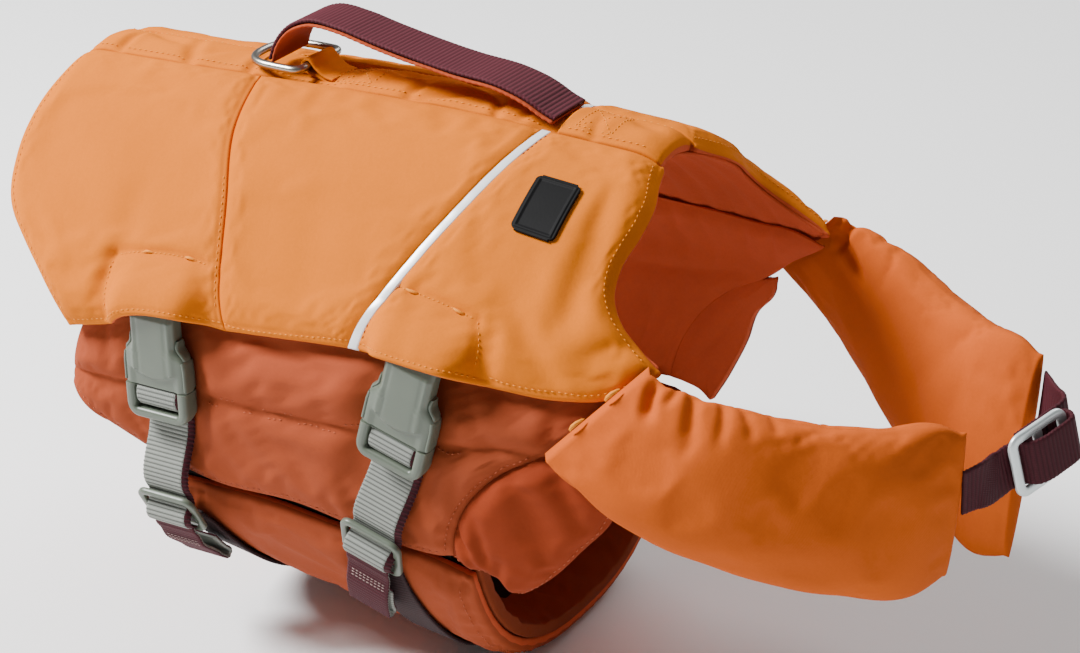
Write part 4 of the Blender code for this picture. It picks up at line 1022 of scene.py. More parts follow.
class JACKET_OT_back_panels(bpy.types.Operator):
    """Make the three padded back panels of each side"""
    bl_idname = "life_jacket.back_panels"
    bl_label = "Back panels"

    def execute(self, context):
        bulges = {"rear": (HEM_BULGE, SEAM_BULGE, SEAM_BULGE, HEM_BULGE),
                  "middle": (SEAM_BULGE, SEAM_BULGE, SEAM_BULGE, HEM_BULGE),
                  "shoulder": (SEAM_BULGE, HEM_BULGE, SEAM_BULGE, HEM_BULGE)}
        for kind, (x, g) in shell_grids().items():
            edges = from_edges(x, g)
            for side in SIDES:
                height = shell_top(x, g) + shell_relief(kind, side, x, g, edges)
                outer = on_jacket(x, g, side, height)
                inner = on_jacket(x, g, side, shell_under(x, g))
                over_strap = np.clip(tunnel(x, np.maximum(g, 110)) / 3, 0, 1)
                held = np.maximum(sewn_down(edges, 5.0), np.clip((g - 92) / 14, 0, 1) * over_strap)
                if kind == "shoulder" and side == "right":
                    held = np.maximum(held, np.exp(-((x - 107) / 15) ** 8 - ((g - 49) / 18) ** 8))
                padded_panel(f"{kind}_panel_{side}", "orange", (x, g), outer, inner, bulges[kind], held,
                             0.7, 2.0, 0.6)
        return {"FINISHED"}


SPINE_CREASES = [(-126, 3, 16, 82, 0.8, 3), (-112, -4, 30, 15, 0.7, 4), (-92, 4, 26, 60, 0.9, 4),
                 (-74, -3, 30, -30, 0.8, 4), (-58, 5, 20, 80, 0.9, 3), (-10, 0, 22, 60, 0.6, 4),
                 (6, -6, 30, 10, 0.8, 3), (22, 4, 20, 100, 0.7, 3), (34, 7, 26, -20, 0.7, 3),
                 (48, -5, 30, 24, 0.8, 4), (60, 5, 18, 70, 0.9, 3), (74, -2, 24, 96, 0.8, 3),
                 (104, 5, 16, 70, 0.6, 3), (120, -4, 22, 20, 0.6, 4)]


class JACKET_OT_spine_strip(bpy.types.Operator):
    """Make the strip of cloth along the spine, in two pieces"""
    bl_idname = "life_jacket.spine_strip"
    bl_label = "Spine strip"

    def execute(self, context):
        half, split = STRIP_WIDTH / 2, PIPING[0][0]
        start, end = REAR_HEM[0][0], NECK_EDGE[0][0] + 1
        tight, hem = 0.5, 1.2
        for name, first, last, lift in (("spine_strip", start, split - GAP / 2, 0.0),
                                        ("spine_strip_front", split + GAP / 2, end, 0.7)):
            front = lift > 0
            ends = (tight, hem) if front else (hem, tight)
            low, high = first + ends[0], last - ends[1]
            along, across = GRIDS[name]
            x, g = np.meshgrid(low + (high - low) * crowded(along, 0.3),
                               (half - 0.7) * (2 * crowded(across, 0.6) - 1), indexing="ij")
            crown = 0.8 + 0.2 * ramp(half - np.abs(g), 5)
            hems = 0.5 + 0.5 * ramp(np.minimum(x - start, end - x), 12)
            sewn = sum(deep * np.exp(-((x - at) / wide) ** 4) for at, deep, wide in STRIP_DIPS if not front)
            relief = 2.1 * creases(SPINE_CREASES, x, g) + groove(half - np.abs(g), 2.4, 0.5, 0.7)
            relief += 0.6 * uneven(x + 0.7 * g, 13, 4) * (1 - np.exp(-(half - np.abs(g)) / 2))
            relief *= np.clip(1 - sewn / 3.2, 0.1, 1)
            height = SHELL_IN + (STRIP_TOP + lift - SHELL_IN) * crown * hems - sewn + relief
            made = wall(name + "_cloth", name, "orange", name, FIG.out(x, g, height),
                        FIG.out(x, g, SHELL_IN + 0 * x), (*ends, 0.6, 0.6), pattern(x, g))
        return {"FINISHED"}


class JACKET_OT_piping(bpy.types.Operator):
    """Make the reflective piping of each side"""
    bl_idname = "life_jacket.piping"
    bl_label = "Piping"

    def execute(self, context):
        half, pipe_x = PIPE_WIDTH / 2 + 0.7, PIPING[-1][0]
        line = cut(PIPING, STRIP_EDGE, PIPING[-1][1])
        top = float(by_girth(PIPING, STRIP_EDGE))
        x, g = patch([(top - half, STRIP_EDGE), (top + half, STRIP_EDGE)],
                     [(pipe_x - half, PIPING[-1][1]), (pipe_x + half, PIPING[-1][1])],
                     shifted(line, -half), shifted(line, half), *GRIDS["piping"], (0.7, 0.7, 0.4, 0.5))
        across = (x - x.mean(0)) / half
        for side in SIDES:
            beside = shell_top(by_girth(PIPING, g) + PIPE_WIDTH / 2 + 0.3, g)
            height = beside + 0.25 * (1 - across ** 2) + 0.05 + 0.05 * uneven(g, 12, 3)
            name = f"reflective_piping_{side}"
            made = wall(name + "_tape", name, "piping", name, on_jacket(x, g, side, height),
                        on_jacket(x, g, side, shell_under(x, g)), (0.8, 0.8, 0.3, 0.5), pattern(x, g))
        return {"FINISHED"}


class JACKET_OT_label(bpy.types.Operator):
    """Make the bare rubber label with its raised border"""
    bl_idname = "life_jacket.label"
    bl_label = "Label"

    def execute(self, context):
        corners = np.array(LABEL_CORNERS)
        u, v = np.meshgrid(*(crowded(count, 0.7) for count in GRIDS["label"]), indexing="ij")
        wide = np.linalg.norm(corners[1] - corners[0])
        tall = np.linalg.norm(corners[2] - corners[0])
        a, b = (2 * u - 1) * wide / 2, (2 * v - 1) * tall / 2
        keep = 0.5                               # the corners are made round by drawing the rows in
        past = np.maximum(np.abs(b) - tall / 2 + keep + LABEL_CORNER, 0)
        trim = LABEL_CORNER - np.sqrt(np.maximum(LABEL_CORNER ** 2 - past ** 2, 0))
        a = a * (1 - (trim + keep) / (wide / 2))
        u, v = a / wide + 0.5, b * (1 - 2 * keep / tall) / tall + 0.5
        x, g = ((corners[0][k] * (1 - u) + corners[1][k] * u) * (1 - v)
                + (corners[2][k] * (1 - u) + corners[3][k] * u) * v for k in (0, 1))
        edge = np.minimum(np.minimum(u, 1 - u) * wide, np.minimum(v, 1 - v) * tall)
        border = 0.5 * np.exp(-((edge - 2.0) / 0.55) ** 4) + 0.15 * np.exp(-((edge - 0.8) / 0.5) ** 4)
        under = on_jacket(x, g, "right", shell_top(x, g) + GAP)
        over = on_jacket(x, g, "right", shell_top(x, g) + GAP + LABEL_THICK - 0.25 + border)
        wall("label_rubber", "label", "rubber", "rubber_label", over, under, 0.25, pattern(x, g), 3)
        return {"FINISHED"}


def quilt(x, g, seed):
    """The lining's soft padded folds: long lumps across the back, a few deep folds between."""
    wave = 1.3 * uneven(x + 5 * np.sin(g / 23 + seed), 34, seed)
    wave += 0.7 * uneven(x * 0.7 + g * 0.5, 21, seed + 1)
    return -np.abs(wave) * 0.9


class JACKET_OT_linings(bpy.types.Operator):
    """Make the shell's lining and the tape along the middle of it"""
    bl_idname = "life_jacket.linings"
    bl_label = "Linings"

    def execute(self, context):
        hem_low, (tip_x, tip_g) = LOWER_EDGE[0][1], NECK_EDGE[-1]
        hem = shifted(REAR_HEM[:-1] + [(LOWER_EDGE[0][0], hem_low - 3)], 1.0)
        neck = shifted(NECK_EDGE[:-1] + [(tip_x - 1, tip_g - 2)], -1.0)
        low = [hem[-1], *[(x, g - 3) for x, g in LOWER_EDGE][1:-1], neck[-1]]

        def whole(edge):
            return [(x, -g) for x, g in reversed(edge[1:])] + edge
        x, g = patch([(x, -g) for x, g in low], low, whole(hem), whole(neck), *GRIDS["lining"],
                     (0.6, 0.6, 0.6, 0.6))
        near = np.minimum.reduce(from_edges(x, g))
        clear = 1 - np.exp(-(near / 9) ** 2)
        folded = quilt(x, g, 3) * clear * np.clip((np.abs(g) - 12) / 8, 0, 1)
        made = wall("shell_lining_cloth", "lining", "lining", "shell_lining",
                    FIG.out(x, g, LINING_OUT + 0 * x), FIG.out(x, g, LINING_IN + folded), 0.5, pattern(x, g))
        along, across = GRIDS["tape"]
        x, g = np.meshgrid(np.linspace(*TAPE_ENDS, along), np.linspace(-TAPE_HALF, TAPE_HALF, across),
                           indexing="ij")
        lift = 0.12 * uneven(x, 14, 8)
        made = wall("inner_tape_cloth", "tape", "dark", "inner_tape", FIG.out(x, g, -0.6 + 0 * x),
                    FIG.out(x, g, -1.7 + lift), 0.5, np.stack([g, x], -1))
        return {"FINISHED"}


# --- the sides, gussets and belly

# creases of the lower pieces, as for the back shell
SIDE_CREASES = [(22, 128, 40, 12, 0.9, 5), (-8, 136, 30, -20, 0.7, 5), (84, 124, 34, 62, 1.0, 5),
                (104, 132, 36, 50, 1.1, 5), (122, 124, 26, 30, 0.9, 4), (30, 168, 50, 6, 0.9, 6),
                (-14, 172, 40, -8, 0.8, 6), (82, 162, 30, 80, 1.0, 5), (60, 186, 34, 14, 0.8, 5),
                (-76, 136, 26, 70, 0.8, 5), (-74, 160, 24, 30, 0.8, 5), (96, 158, 20, 100, 0.7, 4)]
GUSSET_CREASES = [(120, 150, 40, 36, 0.8, 7), (128, 166, 40, 66, 0.7, 8), (107, 181, 24, 80, 1.3, 3.6),
                  (142, 150, 26, 66, 0.7, 5), (101, 189, 20, 56, 1.4, 3.2), (113, 193, 18, 104, 1.2, 3.2),
                  (134, 142, 20, 20, 0.7, 5), (97, 184, 14, 30, 1.0, 2.6)]


class JACKET_OT_side_panels(bpy.types.Operator):
    """Make the rust side panel and the chest gusset of each side"""
    bl_idname = "life_jacket.side_panels"
    bl_label = "Side panels and gussets"

    def execute(self, context):
        hem = 1.0
        x, g = patch(SIDE_UPPER, SIDE_LOWER, SIDE_REAR, PAD_SEAM + GUSSET_SEAM[1:], *GRIDS["side"],
                     (hem, 0.05, 0.6, hem))
        edges = from_edges(x, g)
        for side in SIDES:
            height = side_top(x, g)
            fold = creases(side_table(SIDE_CREASES, side), x, g) * choice("cloth").crease
            from_crease = np.abs(g - by_x(CREASE, x))
            fold += puckers(edges[3], x, 0.3, 12, 6, 31) + puckers(edges[1], g, 0.3, 10, 6, 32)
            fold += puckers(from_crease, x, 0.2, 13, 5, 33)
            fold += groove(from_crease, 0, 0.5, 1.2) + groove(edges[3], 3.0, 0.35, 1.0)
            fold += groove(edges[1], 2.4, 0.35, 1.0)
            height += fold * (1 - 0.8 * press(x, g))
            outer = on_jacket(x, g, side, height)
            full = ramp(from_crease, 12) * ramp(np.minimum.reduce(edges), 12)
            inside = SIDE_IN + 1.5 * (1 - ramp(edges[2], 12)) - 0.9 * full
            inner = on_jacket(x, g, side, inside + 0.8 * full * quilt(x, g, 12 + SIDES[side]))
            held = np.maximum(sewn_down(edges, 4.5), press(x, g))
            held = np.maximum(held, np.exp(-((g - by_x(CREASE, x)) / 4) ** 2))
            held = np.maximum(held, np.clip((by_x(LOWER_EDGE, x) + 8 - g) / 6, 0, 1))
            padded_panel(f"side_panel_{side}", "rust", (x, g), outer, inner, (hem, 0.35, 0.6, hem), held,
                         1.5, 2.2, 0.9)
        for side in SIDES:
            top = [GUSSET_TOP_REAR, GUSSET_FRONT[side][0]]
            x, g = patch(shifted(top, GAP), GUSSET_LOWER[side], shifted(GUSSET_SEAM, GAP),
                         GUSSET_FRONT[side], *GRIDS["gusset"], (-0.35, hem, 0.0, hem))
            edges = from_edges(x, g)
            height = gusset_top(side, x, g)
            height += creases(side_table(GUSSET_CREASES, side), x, g) * choice("cloth").crease
            height += puckers(edges[0], g, 0.7, 9, 7, 41) + puckers(edges[3], x, 0.6, 8, 6, 42)
            height += puckers(edges[1], g, 0.5, 11, 6, 43) + groove(edges[1], 3.0, 0.4, 1.0)
            height += groove(edges[0], 2.0, 0.3, 0.9)
            outer = on_jacket(x, g, side, height)
            full = ramp(np.minimum.reduce(edges), 14)
            inner = on_jacket(x, g, side, SIDE_IN - 1.4 * full + 0.8 * full * quilt(x, g, 21))
            padded_panel(f"chest_gusset_{side}", "deep_orange", (x, g), outer, inner,
                         (0.35, hem, 0.4, hem), sewn_down(edges, 4.0), 2.2, 2.4, 0.9)
        return {"FINISHED"}


def belly_grid(start, end, drop, kind):
    """x, q and signed girth of a wall round the belly from the right edge to the left one."""
    along, across = GRIDS[kind]
    x, q = np.meshgrid(start + (end - start) * crowded(along), crowded(across, 0.4), indexing="ij")
    edge = by_x(BELLY_EDGE, x) - drop
    return x, q, edge + q * 2 * (FIG.half_girth(x) - edge)


BELLY_CREASES = [(-30, 222, 40, 60, 1.0, 6), (10, 232, 50, 10, 0.9, 7), (44, 226, 40, 80, 1.0, 6),
                 (80, 234, 30, 100, 1.2, 5), (-6, 262, 50, -14, 0.8, 7), (56, 268, 40, 60, 1.0, 6),
                 (84, 280, 30, 80, 1.1, 5), (-40, 290, 34, 40, 0.9, 6), (20, 300, 44, 10, 0.9, 7),
                 (70, 306, 34, 70, 1.0, 6)]


class JACKET_OT_belly(bpy.types.Operator):
    """Make the belly panel, its dark lining and the gathered facing of its front edge"""
    bl_idname = "life_jacket.belly"
    bl_label = "Belly panel"

    def execute(self, context):
        hem = 1.2
        x, q, g = belly_grid(BELLY_REAR_X + hem, BELLY_FRONT_X - hem, -hem, "belly")
        edges = from_edges(x, g)
        height = belly_top(x, q) + creases(BELLY_CREASES, x, g) * choice("cloth").crease
        height += puckers(edges[0], g, 0.6, 9, 6, 51) + puckers(edges[1], g, 0.9, 8, 7, 52)
        height += puckers(edges[2], x, 0.6, 9, 6, 53) + puckers(edges[3], x, 0.6, 9, 6, 54)
        height += sum(groove(edge, 3.0, 0.6, 1.0) for edge in edges[1:])
        outer, inner = FIG.out(x, g, height), FIG.out(x, g, np.full(x.shape, BELLY_IN))
        held = sewn_down(edges, 5.0)
        for strap in STRAPS.values():
            held = np.maximum(held, np.exp(-((x - strap["x_belly"]) / 13) ** 6))
        padded_panel("belly_panel", "rust", (x, g), outer, inner, hem, held, 1.0, 1.6, 1.2)

        x, q, g = belly_grid(BELLY_REAR_X + 2.5, BELLY_FRONT_X - 13.0, 9.5, "belly_lining")
        near = np.minimum.reduce(from_edges(x, g))
        folded = -0.7 * np.abs(uneven(x + 9 * np.sin(g / 31), 30, 55)) * (1 - np.exp(-(near / 8) ** 2))
        made = wall("belly_lining_cloth", "belly_lining", "inside", "belly_lining",
                    FIG.out(x, g, INNER_OUT + 0 * x), FIG.out(x, g, INNER_IN + folded), 0.4, pattern(x, g))

        x, q, g = belly_grid(BELLY_FRONT_X - 25.5, BELLY_FRONT_X + 0.5, 5, "facing")
        depth = np.clip((BELLY_FRONT_X + 2 - x) / 20, 0.25, 1)
        wave = 1.5 * np.sin(q * 2 * math.pi * GATHERS + 0.5 * uneven(q * 100, 9, 58)) * depth
        meets = np.clip((x - BELLY_FRONT_X + 11) / 8, 0, 1) ** 2 * (BELLY_IN - INNER_IN + 1.8)
        fine = 0.55 * uneven(q * 100, 5.5, 56) * depth + 0.3 * uneven(q * 100 + x * 0.4, 3.1, 57)
        outer = INNER_IN - 2.4 + 0.3 * fine + np.where(meets > 0, meets, wave)
        inner = INNER_IN - 4.0 + wave + fine
        made = wall("belly_facing_cloth", "belly_facing", "facing", "belly_front_facing",
                    FIG.out(x, g, outer), FIG.out(x, g, inner), 0.4, pattern(x, g))
        return {"FINISHED"}


# --- the neck pads

PAD_ROWS = {
    # each row is a section of the pad: its top edge, its bottom edge (x, y out from the middle, z)
    # and how thick it is there
    "right": [
        ((170.5, 85.5, -48.5), (137.0, 103.0, -85.0), 6.0),
        ((179.0, 85.5, -51.0), (146.0, 102.5, -91.5), 19.0),
        ((200.0, 80.0, -57.0), (170.0, 96.0, -107.5), 28.0),
        ((224.5, 67.5, -63.5), (201.0, 82.0, -121.5), 31.0),
        ((251.0, 52.0, -65.5), (236.0, 61.0, -132.0), 30.0),
        ((267.0, 42.0, -64.0), (259.0, 41.0, -137.0), 24.0),
        ((273.0, 38.5, -67.0), (266.5, 30.5, -132.5), 10.0)]}
PAD_ROWS["left"] = PAD_ROWS["right"][:3] + [
    # its end rolls in, so that its bottom edge comes forward below the strap
    ((224.5, 67.5, -63.5), (204.0, 76.0, -128.0), 31.0),
    ((251.0, 52.0, -65.5), (240.0, 45.0, -147.0), 30.0),
    ((267.0, 42.5, -64.0), (260.0, 28.0, -153.5), 24.0),
    ((274.0, 40.0, -67.0), (272.0, 26.0, -150.5), 10.0)]

PAD_END_ROWS = 6

# the pads' creases: along the pad in mm, round it in mm from its top edge over the outside
# (below zero: over the inside), length, turn in degrees from along, depth, half width
PAD_CREASES = {
    "right": [(8, 9, 17, 58, 3.6, 2.9), (14, 3, 12, 84, 1.2, 2.6), (25, 9, 22, 64, 2.0, 3.3),
              (37, 7, 19, 70, 1.3, 3.0), (47, 5, 15, 58, 1.0, 3.2), (58, 3, 11, 72, 0.6, 3.0),
              (28, 36, 50, 30, 0.7, 9), (12, 40, 30, 12, 0.6, 5), (90, 30, 60, 22, 0.5, 12),
              (80, 62, 50, -12, 0.7, 10), (112, 50, 46, 84, 0.5, 8), (12, -10, 26, -70, 1.8, 3.4),
              (30, -9, 26, -60, 1.2, 4), (24, -34, 40, 8, 0.8, 6), (66, -24, 54, 14, 0.6, 9),
              (100, -36, 40, 60, 0.6, 8)],
    "left": [(8, -8, 24, -76, 2.4, 3.2), (15, -14, 36, -22, 3.0, 3.4), (24, -26, 44, -14, 0.9, 5),
             (40, -8, 22, -60, 0.8, 4), (66, -46, 64, -22, 0.6, 11), (98, -28, 60, 62, 0.7, 8),
             (112, -50, 40, 74, 0.5, 8), (12, 10, 26, 70, 1.5, 3.4), (30, 9, 26, 60, 1.0, 4),
             (17, 40, 32, -16, 0.8, 5), (56, 30, 54, 12, 0.6, 9), (96, 44, 44, 50, 0.6, 8)]}


def pad_sections(side, count, points):
    """The pad's skin: rings of flattened round section through the rows' edges. A ring's long
    axis is from its bottom edge to its top one, and its short axis is square to that and to
    the way the pad runs."""
    rows, fine = PAD_ROWS[side], 200
    place, at = np.arange(fine), np.linspace(0, 1, count)
    edges = (curve([row[k] for row in rows], fine) * (1, -SIDES[side], 1) for k in (0, 1))
    top, bottom = (read_at(at * (fine - 1), place, edge) for edge in edges)
    thick = smooth(at, np.linspace(0, 1, len(rows)), [row[2] for row in rows])
    centre, wide = (top + bottom) / 2, (top - bottom) / 2
    short = unit(np.cross(np.gradient(centre, axis=0), wide))
    turn = np.linspace(0, 2 * math.pi, points)
    c, s = np.cos(turn), np.sin(turn)
    c, s = np.sign(c) * np.abs(c) ** 0.9, np.sign(s) * np.abs(s) ** 0.85
    return (centre[:, None] + wide[:, None] * c[None, :, None]
            + short[:, None] * (thick[:, None] / 2 * s[None])[..., None]), centre, short


def pad_relief(side, along, around, girth):
    """What lies over a pad's plain form, from places along it and round it in millimetres:
    its creases, gathers at its root and its end, and a soft edge along its top and bottom."""
    to_end = along[-1, 0] - along
    height = creases(PAD_CREASES[side], along, around) * choice("cloth").crease
    root = np.exp(-(along / 17) ** 1.5) * (1 - np.exp(-(along / 3) ** 2))
    height += 0.2 * uneven(around, 12, 61 + SIDES[side]) * root
    height += 0.3 * uneven(around + along * 0.2, 13, 63) * np.exp(-to_end / 10)
    height += 0.25 * uneven(along + 0.3 * around, 34, 64)
    edge = np.minimum(np.abs(around), np.abs(np.abs(around) - girth / 2))
    return (height + 0.1 * np.exp(-(edge / 2.2) ** 2)) * np.clip(along / 4, 0, 1) * np.clip(to_end / 3, 0, 1)


def pad_end(last, middle, way, short):
    """The rows that draw a pad's last ring together into a sewn edge as broad as the pad."""
    aside = ((last - middle) @ short)[:, None] * short
    return [last - aside * (1 - math.cos(t)) + way * 2.2 * math.sin(t)
            for t in np.linspace(0, math.pi / 2, PAD_END_ROWS + 1)[1:]]


def outward_of(grid):
    """A grid's unit normals, turned away from its middle line."""
    normal = unit(np.cross(np.gradient(grid, axis=0), np.gradient(grid, axis=1)))
    away = grid - grid.mean(1, keepdims=True)
    return normal * np.sign(np.sum(normal * away))


class JACKET_OT_neck_pads(bpy.types.Operator):
    """Make the two padded neck straps"""
    bl_idname = "life_jacket.neck_pads"
    bl_label = "Neck pads"

    def execute(self, context):
        for side in SIDES:
            grid, centre, short = pad_sections(side, *GRIDS["pad"])
            # the outside of the pad faces away from the dog's middle
            facing = np.sign(np.sum(short[20] * np.array([0, -SIDES[side], 0])))
            run = run_of(centre)
            along = run[:, None] + 0 * grid[..., 0]
            step = np.linalg.norm(np.diff(grid, axis=1), axis=2)
            round_it = np.concatenate([np.zeros((len(grid), 1)), np.cumsum(step, axis=1)], 1)
            girth = round_it[:, -1:]
            around = np.where(round_it > girth / 2, round_it - girth, round_it) * facing
            body = grid + outward_of(grid) * pad_relief(side, along, around, girth)[..., None]
            held = np.maximum(np.exp(-(along / 7) ** 2), np.exp(-((run[-1] - along) / 5) ** 2))
            held[:, :2] = held[:, -2:] = 1
            body = (body + billow(body, held, choice("cloth").surplus * 0.6, 2.4, 0.8))[:, :-1]
            # the root is turned to meet the side
            root_way = unit(unit(centre[0] - centre[3]) + (0, 1.3 * SIDES[side], 0))
            root = pad_end(body[0], centre[0], 2 * root_way, short[0])
            tip = pad_end(body[-1], centre[-1], unit(centre[-1] - centre[-4]), short[-1])
            rings = np.array(root[::-1] + list(body) + tip)
            m, n = rings.shape[:2]
            near = np.arange(n // 2)
            v = np.r_[np.zeros(PAD_END_ROWS), run, np.full(PAD_END_ROWS, run[-1])]
            uv = np.stack(np.broadcast_arrays(np.arange(n)[None] * 1.15, v[:, None] + PATTERN_START), -1)
            faces = tube_quads(m, n, near, (n - near) % n)
            name = f"neck_pad_{side}"
            mesh = closed(mesh_from("pad", rings.reshape(-1, 3), faces, uv.reshape(-1, 2)))
            made = piece(name + "_cloth", mesh, finish_of("pads"), name)
        return {"FINISHED"}


# --- webbing

SIDE_WEB_WIDTH, WEB_THICK = 20.0, 1.6
WEB_FLAT = 0.94             # how much of the webbing's width is flat


def webbing(name, path, across, width, thick, pitch, rib=0.2, step=0.3, seed=0, frayed=0.0, flat=11,
            ledge=0.0):
    """Woven webbing carried along a path, flat to its across direction. Its section is a flat
    shape with round edges, of as many points on each face as flat says; ribs stand across it
    at the pitch, and its edges waver with them. With a ledge, its reverse stands out that far
    beyond one edge of its face."""
    path = np.asarray(path, float)
    along_path = run_of(path)
    length = along_path[-1]
    count = int(length / step)
    line = curve(curve(path, 400), count)
    run = run_of(line)
    across = np.broadcast_to(np.asarray(across, float), path.shape)
    across = read_at(run / run[-1], along_path / length, across)
    along = unit(np.gradient(line, axis=0))
    across = unit(across - along * np.sum(across * along, 1, keepdims=True))
    normal = np.cross(along, across)
    face = (2 * crowded(flat, 0.6) - 1)
    place = np.r_[face * WEB_FLAT, 1.0, 1.0, face[::-1] * WEB_FLAT, -1.0, -1.0]
    if ledge:
        beyond, hand = 2 * abs(ledge) / width, np.sign(ledge)
        back = np.clip(face[::-1] * WEB_FLAT * hand + beyond, None, WEB_FLAT + beyond)
        place[flat + 2:2 * flat + 2] = back * hand
        place[flat + 1 if ledge > 0 else -2] += beyond * hand
    lift = np.r_[np.ones(flat), 0.55, -0.55, -np.ones(flat), -0.55, 0.55]
    ribs = np.abs(np.sin(math.pi * run / pitch)) if pitch else np.ones(count)
    edge = np.abs(place)[None] > 0.95
    swell = 1 + (rib / thick) * 2 * (ribs[:, None] - 0.6) * np.where(edge, 0.4, 1)
    wave = 0.016 * np.cos(2 * math.pi * run / max(pitch, 1)) + frayed * uneven(run, 1.3, seed)
    cup = 0.10 * uneven(run, 26, seed + 1)[:, None] * (place ** 2)[None]
    wide = place[None] * width / 2 * (1 + wave[:, None] * edge)
    high = (lift[None] * thick / 2) * swell + cup
    rings = line[:, None] + across[:, None] * wide[..., None] + normal[:, None] * high[..., None]
    u = np.r_[(face + 1) * width / 2, width, INSIDE + width, INSIDE + (face[::-1] + 1) * width / 2, INSIDE, 0]
    if ledge:
        u[flat if ledge > 0 else -1] += INSIDE
    uv = np.stack(np.broadcast_arrays(u[None], run[:, None]), -1)
    m, n = rings.shape[:2]
    faces = tube_quads(m, n, np.r_[n - 1, np.arange(flat + 1)],
                       np.r_[n - 2, np.arange(2 * flat + 1, flat, -1)])
    return closed(mesh_from(name, rings.reshape(-1, 3), faces, uv.reshape(-1, 2)))


IN_PRONG = [
    # (o, z): out from the buckle's middle plane, and height below the socket's top
    (0.8, -29.8), (2.5, -31.6), (3.2, -34.2), (2.8, -37.0), (0.9, -39.2), (-2.2, -40.6), (-3.9, -43.6),
    (-3.8, -48.0)]
IN_SLIDER = [
    # (o, z) in the slider's own leaning plane, from its middle
    (-3.3, 12.5), (-3.2, 8.6), (-2.5, 6.2), (-0.1, 4.3), (3.2, 2.9), (5.0, 0.0), (4.5, -2.8), (3.0, -5.2)]
TAIL_START = [(3.0, -5.9), (3.5, -8.4), (3.1, -11.6)]
TAIL_END = {
    # (o, z) as for the prong: the free end, folded back under itself
    "rear": [(-7.3, -105.0), (-11.8, -109.2), (-16.2, -112.9), (-20.3, -116.7), (-23.6, -118.7),
             (-25.2, -116.5), (-22.3, -113.2), (-18.8, -109.4), (-15.5, -105.4)],
    "front": [(-4.6, -101.5), (-5.6, -106.0), (-7.6, -110.8), (-10.2, -115.6), (-13.2, -119.2),
              (-15.7, -118.3), (-13.1, -113.8), (-10.6, -109.0), (-9.0, -104.6)]}
SLIDER_OUT = -0.8           # the slider's middle, out from the buckle's middle plane
STRAP_LEDGE = 2.4           # how much of the plum reverse shows beside the grey face


def web_piece(name, node, kind, path, across, width, rib_pitch, held, **shape):
    """Webbing along a path as a piece."""
    thick = shape.pop("thick", choice("webbing").thickness / MM)
    made = piece(name, webbing(node, path, across, width, thick, rib_pitch, **shape), finish_of(kind), node)
    run_of(curve(path, 200))[-1] * MM


class Strap:
    """Places on one strap: out from the buckle's middle plane and below its socket's top, or
    in the slider's leaning plane; x follows the strap's own slant."""
    def __init__(self, place, side):
        self.strap = STRAPS[place]
        self.sign = SIDES[side]
        self.slant = (self.strap["x_slider"] - self.strap["x_top"]) / self.strap["drop"]
        self.tilt = math.radians(self.strap["tilt"])
        self.flat = np.array((1, 0, self.slant))
        self.across = unit(-self.sign * self.flat)

    def spot(self, o, z):
        strap = self.strap
        x, y = strap["x_top"] - self.slant * z, -self.sign * (o + strap["out"])
        return np.array((x, y, strap["z_top"] + z))

    def in_slider(self, o, z):
        """From the slider's plane to the strap's own (o, z)."""
        c, s = math.cos(self.tilt), math.sin(self.tilt)
        return self.spot(SLIDER_OUT + o * c + z * s, -self.strap["drop"] + z * c - o * s)

    def frame_at(self, slider=False):
        """The point and the across, out and up directions that hardware is placed by."""
        if slider:
            point, up = self.in_slider(0, 0), unit(self.in_slider(0, 1) - self.in_slider(0, 0))
        else:
            point, up = self.spot(0, 0), unit(self.spot(0, 0) - self.spot(0, -100))
        out = unit(np.cross(up, self.across))
        return point, np.cross(out, up), out, up


class JACKET_OT_side_straps(bpy.types.Operator):
    """Make the webbing of the four side straps and their folded ends"""
    bl_idname = "life_jacket.side_straps"
    bl_label = "Side straps"

    def execute(self, context):
        web = choice("webbing")
        width, rib = web.side_width / MM, web.rib / MM
        for side in SIDES:
            for place in STRAPS:
                on = Strap(place, side)
                seed = 70 + len(place) + SIDES[side]
                path = [on.spot(*p) for p in IN_PRONG] + [on.in_slider(*p) for p in IN_SLIDER]
                name = f"strap_{place}_{side}"
                flat = on.flat * SIDES[side]
                web_piece(name + "_webbing", name, "grey", path, flat, width, rib, "hung", rib=0.3, seed=seed,
                          frayed=0.006, ledge=STRAP_LEDGE * SIDES[side])
                path = [on.in_slider(*p) for p in TAIL_START] + [on.spot(*p) for p in TAIL_END[place]]
                name = f"tail_{place}_{side}"
                web_piece(name + "_webbing", name, "tail", path, flat, width, rib, "folded", rib=0.22,
                          seed=seed + 9)
        return {"FINISHED"}


BELLY_WEB_START = 207.0     # the girth where it begins, behind the slider
BELLY_WEB_OUT = 6.5         # its middle, out from the figure
BELLY_WEB_RISE = {"rear": 2.4, "front": 0.0}


